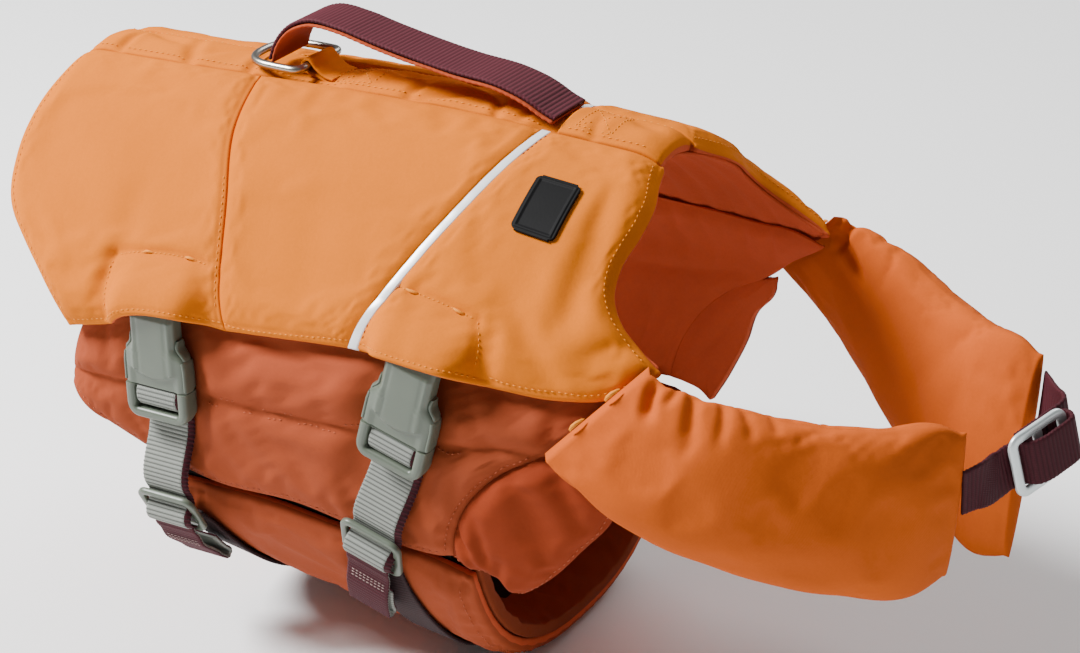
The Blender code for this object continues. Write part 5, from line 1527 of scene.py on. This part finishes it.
class JACKET_OT_belly_webbing(bpy.types.Operator):
    """Make the two webbings that run under the belly between the sliders"""
    bl_idname = "life_jacket.belly_webbing"
    bl_label = "Belly webbing"

    def execute(self, context):
        web = choice("webbing")
        for place, strap in STRAPS.items():
            q = np.linspace(0, 1, 240)
            far = 2 * (float(FIG.half_girth(strap["x_belly"])) - BELLY_WEB_START)
            run = np.minimum(q, 1 - q) * far
            start = strap["x_slider"] - 1
            x = strap["x_belly"] + (start - strap["x_belly"]) * np.exp(-(run / 34) ** 2)
            g = BELLY_WEB_START + q * 2 * (FIG.half_girth(x) - BELLY_WEB_START)
            out = BELLY_WEB_OUT + BELLY_WEB_RISE[place] * np.exp(-(run / 9) ** 2)
            line = FIG.out(x, g, out)
            across = np.cross(np.gradient(line, axis=0), FIG.normal(x, g))
            name = f"belly_webbing_{place}"
            web_piece(name + "_web", name, "dark", line[1:-1], across[1:-1], web.side_width / MM,
                      web.rib / MM, "stretched", step=0.45, seed=81)
        return {"FINISHED"}


SLIDER_AT = (292.0, -3.0, -86.0)
SLIDER_ALONG = (0.43, 0.85, 0.29)
SLIDER_UP = (-0.15, -0.25, 0.96)
PAD_END_LINE = {"right": (0.075, -0.115, 0.99), "left": (0.075, 0.115, 0.99)}
CHEST_PATHS = {
    # points in the model, then (along, out) from the slider's middle
    "near": ([(275.0, -37.5, -91.5), (278.6, -31.0, -90.5)],
             [(-18.5, -3.0), (-13, -3.2), (-8.4, -1.4), (-5.2, 2.8), (0, 4.4), (6.0, 4.4), (11.0, 4.2),
              (14.6, 3.5), (16.3, 0.6), (14.8, -2.7), (11.0, -3.3), (8.0, -3.3)]),
    "far": ([(277.5, 38.5, -84.0), (284.0, 31.5, -82.5)],
            [(19.0, -6.4), (12.0, -6.0), (5.0, -5.7), (-6.0, -5.5)])}


def chest_frame():
    along, up = unit(np.array(SLIDER_ALONG)), unit(np.array(SLIDER_UP))
    return np.array(SLIDER_AT), along, np.cross(along, up), up


class JACKET_OT_chest_strap(bpy.types.Operator):
    """Make the two webbings of the chest strap"""
    bl_idname = "life_jacket.chest_strap"
    bl_label = "Chest strap"

    def execute(self, context):
        web = choice("webbing")
        centre, along, out, up = chest_frame()
        for part, side, count, fade in (("near", "right", 32, 8), ("far", "left", 15, 5)):
            given, turned = CHEST_PATHS[part]
            path = curve(given + [tuple(centre + along * a + out * o) for a, o in turned], count)
            turn = np.clip(1 - np.arange(count) / fade, 0, 1)[:, None]
            across = up * (1 - turn) + np.array(PAD_END_LINE[side]) * turn
            name = f"chest_strap_{part}"
            web_piece(name + "_webbing", name, "plum", path, across, web.side_width / MM, web.rib / MM,
                      "stretched", rib=0.26, seed=91, frayed=0.004)
        return {"FINISHED"}


# --- hardware

def loft(centres, halves, power, count, relief):
    """Rings of superellipse section stacked along z, each with a middle (a, o) and half sizes
    in a and o; the relief raises the outside. The first and last ring close flat."""
    c, s = superellipse(count, power)
    a = centres[:, :1] + halves[:, :1] * c
    o = centres[:, 1:2] + halves[:, 1:2] * s
    z = np.broadcast_to(centres[:, 2:], a.shape)
    o = o + relief(a, z) * np.clip(o / halves[:, 1:2], 0, 1) ** 2
    near = np.arange(count // 2)
    return np.stack([a, o, z], -1).reshape(-1, 3), tube_quads(len(halves), count, near, count - 1 - near)


def rounded_ends(z_top, z_low, shape, count, rounding):
    """Heights from top to bottom with the section drawn in at both ends as a quarter round;
    shape gives the half sizes at a height."""
    turn = np.linspace(0, math.pi / 2, 5)
    bend = rounding * (1 - np.sin(turn))
    between = np.linspace(z_top - rounding, z_low + rounding, count)[1:-1]
    z = np.r_[z_top - bend, between, z_low + bend[::-1]]
    draw = rounding * np.r_[np.cos(turn), np.zeros(count - 2), np.cos(turn[::-1])]
    half = np.array([shape(at) for at in np.clip(z, z_low + rounding, z_top - rounding)])
    return np.stack([0 * z, 0 * z, z], 1), np.maximum(half - draw[:, None], 0.15)


def bar_sweep(line, normal, wide, thick, power=3.2, count=16, loop=False):
    """A bar of superellipse section along a line in the plane whose normal is given; wide is
    its size in the plane and thick its size along the normal, one number or one a point."""
    line = np.asarray(line, float)
    along = unit(np.roll(line, -1, 0) - np.roll(line, 1, 0) if loop else np.gradient(line, axis=0))
    side = np.cross(along, normal)
    c, s = superellipse(count, power)
    wide, thick = (np.broadcast_to(v, len(line))[:, None, None] / 2 for v in (wide, thick))
    rings = (line[:, None] + side[:, None] * wide * c[None, :, None]
             + np.asarray(normal, float) * thick * s[None, :, None])
    if loop:
        rings = np.concatenate([rings, rings[:1]])
        return rings.reshape(-1, 3), grid_quads(len(rings), count, ring=True)
    near = np.arange(count // 2)
    return rings.reshape(-1, 3), tube_quads(len(rings), count, near, count - 1 - near)


def rounded_loop(width, height, radius, count):
    """A closed rounded rectangle about the origin, as points (a, z)."""
    turn = np.linspace(0, math.pi / 2, 9)
    w, h = width / 2 - radius, height / 2 - radius
    corners = [np.stack([cx + radius * np.cos(turn + q), cz + radius * np.sin(turn + q)], 1)
               for q, cx, cz in ((0, w, h), (math.pi / 2, -w, h), (math.pi, -w, -h), (1.5 * math.pi, w, -h))]
    whole = np.concatenate([*corners, corners[0][:1]])
    run = run_of(whole)
    return read_at(np.linspace(0, run[-1], count, endpoint=False), run, whole)


def joined(*parts):
    """One set of points and quads from several."""
    points, faces, start = [], [], 0
    for p, f in parts:
        points.append(p)
        faces.append(f + start)
        start += len(p)
    return np.concatenate(points), np.concatenate(faces)


SHARP = math.radians(55)    # edges of the hardware that turn more than this are drawn sharp


def place_hardware(name, parts, at):
    """A mesh from parts in (a, o, z), moved to a frame of point, across, out and up."""
    points, faces = joined(*parts)
    point, across, out, up = at
    world = point + points[:, :1] * across + points[:, 1:2] * out + points[:, 2:] * up
    mesh = closed(mesh_from(name, world, faces, points[:, [0, 2]]))
    mesh.set_sharp_from_angle(angle=SHARP)
    return mesh


# sizes in mm; the socket's top is tucked under the shell that far
SOCKET = dict(width=30.5, top_width=22.0, length=30.0, thick=9.5, tucked=4.5)
PRONG = dict(length=14.7, bar=4.2, arm=1.7, corner=3.4, bar_deep=6.6)
SOCKET_RIB = ((1.1, -16.5), (0.6, -20), (0.5, -29))    # in from the side, and height
SLIDER = dict(width=28.5, length=22.0, thick=2.6, bar=3.2, radius=3.2)
CHEST_SLIDER = dict(width=28.5, length=28.5, thick=2.2, bar=4.2, radius=3.4)


def socket_half(z):
    """Half the socket's width at a height: narrow above, widening in an S."""
    share = np.clip((-z - 10.5) / 7.0, 0, 1)
    narrow, wide = SOCKET["top_width"], SOCKET["width"]
    return (narrow + (wide - narrow) * share * share * (3 - 2 * share)) / 2


def socket_parts():
    """The socket: narrow above, widening in an S below; two ridges run down its front, which
    stops short of its lower end in an arch."""
    width, length, thick = SOCKET["width"], SOCKET["length"], SOCKET["thick"]

    def shape(z):
        return socket_half(z), thick / 2 - 0.4
    centres, halves = rounded_ends(SOCKET["tucked"], -length, shape, 60, 1.3)
    centres[:, 1] -= 1.8 * np.clip(centres[:, 2] / SOCKET["tucked"], 0, 1)

    def relief(a, z):
        arch = -26.0 + 4.0 * (a / 12.0) ** 2
        front = 1 / (1 + np.exp(-(z - arch) / 0.25))
        ridge = np.exp(-((np.abs(a) - 8.9) / 0.8) ** 4) - 0.6 * np.exp(-((np.abs(a) - 7.4) / 0.5) ** 2)
        panel = 1 / (1 + np.exp((np.abs(a) - 11.0) / 0.25))
        return (0.5 * ridge + 0.35) * front * panel - 0.8 * (1 - front) * panel * (z < -15)
    body = loft(centres, halves, 4.5, 88, relief)
    ribs = [bar_sweep([(s * (width / 2 - inset), 0, z) for inset, z in SOCKET_RIB], (0, 1, 0), 1.6,
                      thick - 2.2) for s in (-1, 1)]
    return [body, *ribs]


def prong_parts():
    """The prong: a U-shaped frame whose lower bar the webbing goes behind, and an arm on each
    side that curves out beside the socket's narrow part."""
    width, thick, length = SOCKET["width"], SOCKET["thick"] - 0.5, PRONG["length"]
    top, low = -SOCKET["length"] - GAP, -SOCKET["length"] - GAP - length
    side = (width - SIDE_WEB_WIDTH - 1.2) / 2
    reach, foot = width / 2 - side / 2, low + PRONG["bar"] / 2
    turn = np.linspace(0, math.pi / 2, 9)
    r, bar_deep = PRONG["corner"], PRONG["bar_deep"]
    half = np.concatenate([[(0.0, foot)], [(x, foot) for x in np.linspace(2, reach - r, 8)],
                           np.stack([reach - r + r * np.sin(turn), foot + r - r * np.cos(turn)], 1)[1:],
                           [(reach, z) for z in np.linspace(foot + r, top, 10)[1:]]])
    line = np.concatenate([half[:0:-1] * (-1, 1), half])
    share = np.clip((line[:, 1] - foot - 0.4) / r, 0, 1)
    wide = PRONG["bar"] + (side - PRONG["bar"]) * share
    # the lower bar is cut back behind, where the webbing passes
    deep, middle = bar_deep + (thick - bar_deep) * share, 1.1 * (1 - share)
    path = np.stack([line[:, 0], middle, line[:, 1]], 1)
    yoke = bar_sweep(path, (0, 1, 0), wide, deep, 4.0, 20)
    upper = bar_sweep([(x, 0.2, top - 1.0) for x in np.linspace(-reach, reach, 16)], (0, 1, 0), 1.8, 5.0)
    arms = []
    for s in (-1, 1):
        z = np.linspace(top - 1.0, -7.7, 26)
        t = np.linspace(0, 1, 26)
        flank = np.minimum(width / 2 - PRONG["arm"] / 2 - 0.3, socket_half(z) + 0.45)
        arms.append(bar_sweep(np.stack([s * flank, 0 * z, z], 1), (0, 1, 0),
                              PRONG["arm"] * (1 - 0.15 * t), 3.4 + 2.4 * np.clip((t - 0.45) * 2.5, 0, 1)
                              * np.sqrt(np.clip((1 - t) / 0.08, 0.1, 1))))
    return [yoke, upper, *arms]


def slider_parts(width, length, thick, bar, radius):
    """A three-bar slider: a rounded frame and a middle bar."""
    rim = rounded_loop(width - bar, length - bar, radius, 120)
    outer = np.stack([rim[:, 0], 0 * rim[:, 0], rim[:, 1]], 1)
    a = np.linspace(-(width - bar) / 2, (width - bar) / 2, 14)
    middle = np.stack([a, 0 * a, 0 * a], 1)
    return [bar_sweep(outer, (0, 1, 0), bar, thick, 3.4, 18, True),
            bar_sweep(middle, (0, 1, 0), bar, thick * 0.92, 3.4, 18)]


class JACKET_OT_buckles(bpy.types.Operator):
    """Make the four buckles, their sliders and the chest strap's slider"""
    bl_idname = "life_jacket.buckles"
    bl_label = "Buckles and sliders"

    def execute(self, context):
        shapes = {"socket": socket_parts(), "prong": prong_parts(), "slider": slider_parts(**SLIDER)}
        for side in SIDES:
            for place in STRAPS:
                on = Strap(place, side)
                for kind, parts in shapes.items():
                    name = f"{kind}_{place}_{side}"
                    mesh = place_hardware(name, parts, on.frame_at(kind == "slider"))
                    piece(name + "_plastic", mesh, finish_of("plastic"), name)
        centre, along, _, up = chest_frame()
        mesh = place_hardware("chest_slider", slider_parts(**CHEST_SLIDER),
                              (centre, up, np.cross(along, up), along))
        piece("chest_slider_metal", mesh, finish_of("slider_metal"), "chest_slider")
        return {"FINISHED"}


# --- the handle and the D-ring

HANDLE_PATH = [(-47.0, 12.6), (-45.6, 17.0), (-39.0, 26.5), (-28.0, 32.0), (-13.0, 31.6), (2.0, 28.6),
               (20.0, 25.4), (43.0, 22.3), (62.0, 20.6), (75.0, 17.0), (84.0, 12.8), (88.6, 11.2)]
HANDLE_TWIST = 0.02         # how far the rear root's near edge is ahead of its far one, for its width
UNDERSIDE_THICK, UNDERSIDE_EXTRA = 1.3, 1.4         # the backing's thickness, and how much wider it is
RING_WIDE, RING_LONG = 31.4, 28.0       # between the wire's middles, across and along the dog
RING_BAR_X, RING_BAR_Z = -30.5, 11.2
RING_SQUARE = 0.8           # 1 for a round D; less for a squarer one
RING_LOOP_WIDTH, RING_LOOP_THICK = 18.0, 1.2


class JACKET_OT_handle(bpy.types.Operator):
    """Make the handle's ribbed webbing and its cloth backing"""
    bl_idname = "life_jacket.handle"
    bl_label = "Handle"

    def execute(self, context):
        web = choice("webbing")
        line = curve([(x, 0, z) for x, z in HANDLE_PATH], 26)
        turn = HANDLE_TWIST * np.clip(1 - np.arange(len(line)) / 11, 0, 1) ** 1.5
        across = np.stack([-turn, np.ones(len(line)), np.zeros(len(line))], 1)
        wide = web.handle_width / MM
        web_piece("handle_webbing_plum", "handle_webbing", "handle", line, across, wide, web.handle_rib / MM,
                  "hung", rib=0.3, step=0.32, seed=5, flat=15)
        along = unit(np.gradient(line, axis=0))
        under = unit(np.cross(across, along))
        back = line + under * (WEB_THICK / 2 + GAP + UNDERSIDE_THICK / 2)
        web_piece("handle_backing_cloth", "handle_backing", "backing", back, across,
                  wide + UNDERSIDE_EXTRA, 3.0, "hung", rib=0.05, step=0.8, seed=6, flat=15,
                  thick=UNDERSIDE_THICK)
        return {"FINISHED"}


class JACKET_OT_d_ring(bpy.types.Operator):
    """Make the D-ring, which swings, and the loop that holds its bar"""
    bl_idname = "life_jacket.d_ring"
    bl_label = "D-ring"

    def execute(self, context):
        wire = choice("hardware").wire / MM
        reach, half, corner = RING_LONG - RING_WIDE / 2, RING_WIDE / 2, 3.2
        arc = np.linspace(-math.pi / 2, math.pi / 2, 15)
        bend = np.linspace(0, math.pi / 2, 7)
        bow = np.stack([-reach - half * np.cos(arc) ** RING_SQUARE,
                        np.sign(arc) * half * np.abs(np.sin(arc)) ** RING_SQUARE], 1)
        one = np.stack([-corner + corner * np.cos(bend), half - corner + corner * np.sin(bend)], 1)[::-1]
        outline = np.concatenate([bow, one[:1], one[1:], one[::-1] * (1, -1)])
        outline = np.concatenate([outline, outline[:1]])
        run = run_of(outline)
        at = np.linspace(0, run[-1], 160, endpoint=False)
        flat = read_at(at, run, outline)
        for _ in range(3):                      # ease the polygon's corners
            flat = (np.roll(flat, 1, 0) + 2 * flat + np.roll(flat, -1, 0)) / 4
        line = np.stack([flat[:, 0] + RING_BAR_X, flat[:, 1], np.full(len(flat), RING_BAR_Z)], 1)
        points, faces = bar_sweep(line, (0, 0, 1), wire, wire, 2.0, 20, True)
        mesh = closed(mesh_from("ring", points, faces, points[:, :2]))
        piece("d_ring_metal", mesh, finish_of("ring_metal"), "d_ring", body=RING)

        radius = wire / 2 + 1.1
        floor = RING_BAR_Z - radius
        path = [(RING_BAR_X + 12.5, floor - 3.0), (RING_BAR_X + 9, floor - 2.5),
                (RING_BAR_X + 4, floor - 0.8)]
        path += [(RING_BAR_X - radius * math.sin(a), RING_BAR_Z - radius * math.cos(a))
                 for a in np.linspace(0.0, math.pi, 9)]
        path += [(RING_BAR_X + 4.2, RING_BAR_Z - 0.8), (RING_BAR_X + 8.0, floor - 0.6),
                 (RING_BAR_X + 12.5, floor - 1.5)]
        path = [(x, 0, z) for x, z in path]
        web_piece("ring_loop_cloth", "ring_loop", "loop", path, (0, 1, 0), RING_LOOP_WIDTH, 0, "folded",
                  rib=0.0, step=0.5, seed=7, thick=RING_LOOP_THICK)
        return {"FINISHED"}


# --- stitching

STITCH_SHARE = 0.62         # how much of the pitch a stitch takes


def stitch_rows(surface, line, pitch, start=0.0, end=None, length=STITCH_SHARE):
    """Stitches along a line over a mesh: the ends and middle of each and its normal, found on
    the mesh's nearest points. Stitches that come out much too short or long are left out."""
    line = curve(line, 300) if len(line) > 2 else np.linspace(line[0], line[1], 300)
    run = run_of(line)
    places = np.arange(start + pitch / 2, (end or run[-1]) - pitch / 2, pitch)
    ends = [read_at(places + shift, run, line) for shift in (-pitch * length / 2, 0.0, pitch * length / 2)]
    found = []
    for spot in np.stack(ends, 1):
        hits = [nearest(surface, point) for point in spot]
        found.append([*(hit[0] / MM for hit in hits), hits[1][1]])
    found = np.array(found).reshape(-1, 4, 3)
    share = np.linalg.norm(found[:, 2] - found[:, 0], axis=1) / (pitch * length)
    return found[(share > 0.5) & (share < 1.3)]


def surface_of(*names):
    """Search trees over pieces."""
    scene = bpy.context.evaluated_depsgraph_get()
    return [BVHTree.FromObject(bpy.data.objects[name], scene) for name in names]


def nearest(surface, point):
    """The nearest hit on any tree of a surface; the point is in millimetres."""
    return min((tree.find_nearest(Vector(point) * MM) for tree in surface), key=lambda hit: hit[3])


def sew(name, rows, kind, thick, sink=0.15):
    """One mesh of stitches: each is a capsule from its first to its last point, a little way
    up from the cloth in its middle and pulled in at its ends."""
    first, middle, last, normal = np.concatenate(rows).transpose(1, 0, 2)
    turn = np.linspace(0, 2 * math.pi, 6, endpoint=False)
    t = np.array([0.0, 0.08, 0.35, 0.65, 0.92, 1.0])
    radius = thick / 2 * np.array([0.05, 0.7, 1.03, 1.03, 0.7, 0.05])
    lift = thick * np.array([-0.7, -0.35, 0.15, 0.15, -0.35, -0.7]) + thick * sink
    path = sum(point[:, None] * share[None, :, None] for point, share in (
        (first, (1 - t) * (1 - 2 * t)), (middle, 4 * t * (1 - t)), (last, t * (2 * t - 1)), (normal, lift)))
    along = unit(last - first)
    aside = unit(np.cross(along, normal))
    up = np.cross(aside, along)
    rings = (path[:, :, None] + aside[:, None, None] * (radius[:, None] * np.cos(turn))[None, :, :, None]
             + up[:, None, None] * (radius[:, None] * np.sin(turn))[None, :, :, None])
    one = grid_quads(len(t), len(turn), ring=True)
    faces = (one[None] + (np.arange(len(first)) * t.size * turn.size)[:, None, None]).reshape(-1, 4)
    uv = np.stack(np.broadcast_arrays(turn * radius.max(), (t * 2.0)[:, None], rings[..., 0])[:2], -1)
    return piece(name, mesh_from(name, rings.reshape(-1, 3), faces, uv.reshape(-1, 2)), finish_of(kind))


def over(points, side, high):
    """Pattern points as places just outside the jacket, for finding its cloth."""
    x, g = np.asarray(points, float).T
    return on_jacket(x, g, side, high + tunnel(x, np.abs(g)))


# seams sewn over each side: thread, pieces (the panels of the shell, or a side piece), edge, whether
# it is read by x, where it starts and ends, how many places, how far beside the edge, how high to
# look for the cloth, and the share of the usual pitch
SHELL_SEAMS = [
    ("light", LOWER_EDGE, True, -89, 165, 120, -2.2, 8, 0.85),
    ("light", REAR_HEM, False, STRIP_EDGE + 2, 128, 60, 4.6, 8, 1),
    ("light", NECK_EDGE, False, STRIP_EDGE + 2, 90, 60, -2.2, 8, 0.8),
    ("light", REAR_SEAM, False, 64, 117, 40, -1.9, 9, 1),
    ("dark", PIPING, False, STRIP_EDGE + 3, 116, 60, PIPE_WIDTH / 2 + 1.5, 8, 0.8)]
SIDE_SEAMS = [
    (CREASE, True, -56, 100, 90, 0, 5.0),
    (SIDE_LOWER, True, -96, 88, 90, -4.0, 3.0),
    (GUSSET_SEAM, False, 139, 196, 40, -2.8, 3.0)]
STRIP_ROWS = [(-138, 87), (93, 131)]            # the spine strip's rows of stitches, from x to x
STRIP_BOXES = [(-18, 2), (96, 112)]             # from x to x, sewn with a cross
OVER_STRIP, OVER_BELLY, OVER_GUSSET = 11.0, 6.0, 4.0    # how high to look for the cloth there
BAR_TACKS = {"rear": (0.36, 0.80), "front": (0.22, 0.78)}
PAD_TACKS = (0.28, 0.62)


def seam_line(edge, by_its_x, start, end, count, beside):
    """Pattern points along a stretch of an edge, a little way beside it."""
    at = np.linspace(start, end, count)
    return np.stack([at, by_x(edge, at) + beside] if by_its_x else [by_girth(edge, at) + beside, at], 1)


class JACKET_OT_stitching(bpy.types.Operator):
    """Sew the stitches along the hems, seams and tacks, in four threads"""
    bl_idname = "life_jacket.stitching"
    bl_label = "Stitching"

    def execute(self, context):
        sewing = choice("sewing")
        pitch, thick = sewing.pitch / MM, sewing.thickness / MM
        rows = {kind: [] for kind in ("light", "dark", "rust", "pale", "bars", "pads")}

        def run(kind, surface, line, share=1.0, **more):
            rows[kind].append(stitch_rows(surface, line, pitch * share, **more))
        for side in SIDES:
            shell = surface_of(*(f"{kind}_panel_{side}_cloth" for kind in ("rear", "middle", "shoulder")))
            for kind, *seam, high, share in SHELL_SEAMS:
                run(kind, shell, over(seam_line(*seam), side, high), share)
            for place in STRAPS:
                across, down = (over(line, side, 9) for line in TACK_LINES[place])
                run("light", shell, across, 0.75)
                run("light", shell, down, 0.75)
                length = run_of(curve(across, 50))[-1]
                for at in np.array(BAR_TACKS[place]) * length:
                    rows["bars"].append(stitch_rows(shell, across, 7.0, at - 3.5, at + 3.6, 0.9))
            lower, gusset = surface_of(f"side_panel_{side}_cloth"), surface_of(f"chest_gusset_{side}_cloth")
            for *seam, high in SIDE_SEAMS:
                run("rust", lower, on_jacket(*seam_line(*seam).T, side, high))
            for edge, beside in ((GUSSET_FRONT[side], (-3.6, 0)), (GUSSET_LOWER[side], (0, -3.4))):
                run("rust", gusset, on_jacket(*(np.array(edge, float) + beside).T, side, OVER_GUSSET))
            ends = np.array(PAD_ROWS[side][0][:2]) * (1, -SIDES[side], 1)
            half, out = 3.8 * unit(ends[1] - ends[0]), unit(np.array((-0.3, -SIDES[side], 0.35)))
            for t in PAD_TACKS:
                middle = ends[0] * (1 - t) + ends[1] * t + 3.4 * out + (-1.5, 0, 1.3)
                rows["pads"].append(np.array([[middle - half, middle + 0.3 * out, middle + half, out]]))
        strips = surface_of("spine_strip_cloth", "spine_strip_front_cloth")
        for a, b in STRIP_ROWS:
            for g in (-STRIP_WIDTH / 2 + 2.6, STRIP_WIDTH / 2 - 2.6):
                run("light", strips, FIG.out(np.linspace(a, b, 60), np.full(60, g), OVER_STRIP))
        for low, high in STRIP_BOXES:
            box = [(low, -8), (high, -8), (high, 8), (low, 8)]
            for i, j in ((0, 1), (1, 2), (2, 3), (3, 0), (0, 2), (1, 3)):
                run("light", strips, FIG.out(*np.linspace(box[i], box[j], 12).T, OVER_STRIP), 0.85)
        belly = surface_of("belly_panel_cloth")
        for x in (BELLY_REAR_X + 4.5, BELLY_FRONT_X - 4.5):
            g = np.linspace(212, 2 * float(FIG.half_girth(x)) - 212, 60)
            run("rust", belly, FIG.out(np.full(60, x), g, OVER_BELLY))
        for side in SIDES:
            for place in STRAPS:
                tail = surface_of(f"tail_{place}_{side}_webbing")
                on = Strap(place, side)
                start, then = np.array(TAIL_END[place][:2])
                for share in (-0.15, 0.15, 0.45):
                    o, z = start + (then - start) * share
                    line = [on.spot(o + 3, z + 1) + on.across * a for a in (-8.5, 0, 8.5)]
                    run("pale", tail, line, 0.6, length=0.85)
        sew("stitches_light", rows["light"], "thread", thick)
        sew("stitches_dark", rows["dark"], "dark_thread", thick)
        sew("stitches_rust", rows["rust"], "rust_thread", thick)
        sew("stitches_pale", rows["pale"], "pale_thread", thick * 0.8)
        sew("bar_tacks", rows["bars"], "thread", thick * 2.6, 0.3)
        sew("pad_tacks", rows["pads"], "thread", thick * 3.4, 0.1)
        return {"FINISHED"}


# --- the stage

FLOOR_HALF = 6.0
SENSOR_WIDTH = 36.0         # in mm, as the lens
WORLD_LIGHT = 0.22
LOOKED_AT = (0.075, 0.0, -0.086)
LAMPS = [
    # name, where it hangs, across, watts
    ("key", (-1.15, -0.6, 1.3), 0.7, 108.0),
    ("back", (0.3, 1.3, 1.3), 1.2, 18.0)]


def placed(name, data, at, way):
    """A lamp or camera at a point, looking along a way."""
    thing = bpy.data.objects.new(name, data)
    thing.location = at
    thing.rotation_euler = way.to_track_quat("-Z", "Y").to_euler()
    bpy.context.scene.collection.objects.link(thing)
    return thing


class JACKET_OT_stage(bpy.types.Operator):
    """Set the floor, the soft studio light and the camera"""
    bl_idname = "life_jacket.stage"
    bl_label = "Stage"

    def execute(self, context):
        stage, scene, r = choice("stage"), bpy.context.scene, FLOOR_HALF
        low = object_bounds()[0][2] - 0.0015
        mesh = bpy.data.meshes.new("floor")
        mesh.from_pydata([(-r, -r, low), (r, -r, low), (r, r, low), (-r, r, low)], [], [(0, 1, 2, 3)])
        floor = bpy.data.objects.new("floor", mesh)
        scene.collection.objects.link(floor)
        mesh.materials.append(finish_of("floor"))
        floor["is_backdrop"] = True
        scene.world = scene.world or bpy.data.worlds.new("studio")
        scene.world.use_nodes = True
        sky = scene.world.node_tree.nodes["Background"].inputs
        sky["Color"].default_value = (1, 1, 1, 1)
        sky["Strength"].default_value = WORLD_LIGHT
        target = Vector(LOOKED_AT)
        for name, at, size, power in LAMPS:
            lamp = bpy.data.lights.new(name, "AREA")
            lamp.shape, lamp.size, lamp.energy = "DISK", size, power
            placed(name, lamp, at, target - Vector(at))
        lens = bpy.data.cameras.new("camera")
        lens.lens, lens.sensor_width = stage.lens, SENSOR_WIDTH
        turn, rise = stage.azimuth, stage.elevation
        away = Vector((math.sin(turn) * math.cos(rise), -math.cos(turn) * math.cos(rise), math.sin(rise)))
        scene.camera = placed("camera", lens, target + away * stage.distance, -away)
        return {"FINISHED"}


# --- the add-on

OPERATORS = (JACKET_OT_back_panels, JACKET_OT_spine_strip, JACKET_OT_piping, JACKET_OT_label,
             JACKET_OT_linings, JACKET_OT_side_panels, JACKET_OT_belly, JACKET_OT_neck_pads,
             JACKET_OT_side_straps, JACKET_OT_belly_webbing, JACKET_OT_chest_strap, JACKET_OT_buckles,
             JACKET_OT_handle, JACKET_OT_d_ring, JACKET_OT_stitching, JACKET_OT_stage)


class JACKET_PT_panel(bpy.types.Panel):
    """The pieces of the jacket, and what may be changed about them"""
    bl_idname = "JACKET_PT_panel"
    bl_label = "Dog life jacket"
    bl_space_type = "VIEW_3D"
    bl_region_type = "UI"
    bl_category = "Jacket"

    def draw(self, context):
        for name, group in GROUPS.items():
            box = self.layout.box()
            box.label(text=name.replace("_", " ").capitalize())
            for key in group.__annotations__:
                box.prop(getattr(context.scene, name), key)
        for operator in OPERATORS:
            self.layout.operator(operator.bl_idname)


CLASSES = (*GROUPS.values(), *OPERATORS, JACKET_PT_panel)


def register():
    for made in CLASSES:
        bpy.utils.register_class(made)
    for name, group in GROUPS.items():
        setattr(bpy.types.Scene, name, bpy.props.PointerProperty(type=group))


def unregister():
    for name in GROUPS:
        delattr(bpy.types.Scene, name)
    for made in reversed(CLASSES):
        bpy.utils.unregister_class(made)


def main():
    register()
    for operator in OPERATORS:
        group, name = operator.bl_idname.split(".")
        getattr(getattr(bpy.ops, group), name)()


if __name__ == "__main__":
    main()
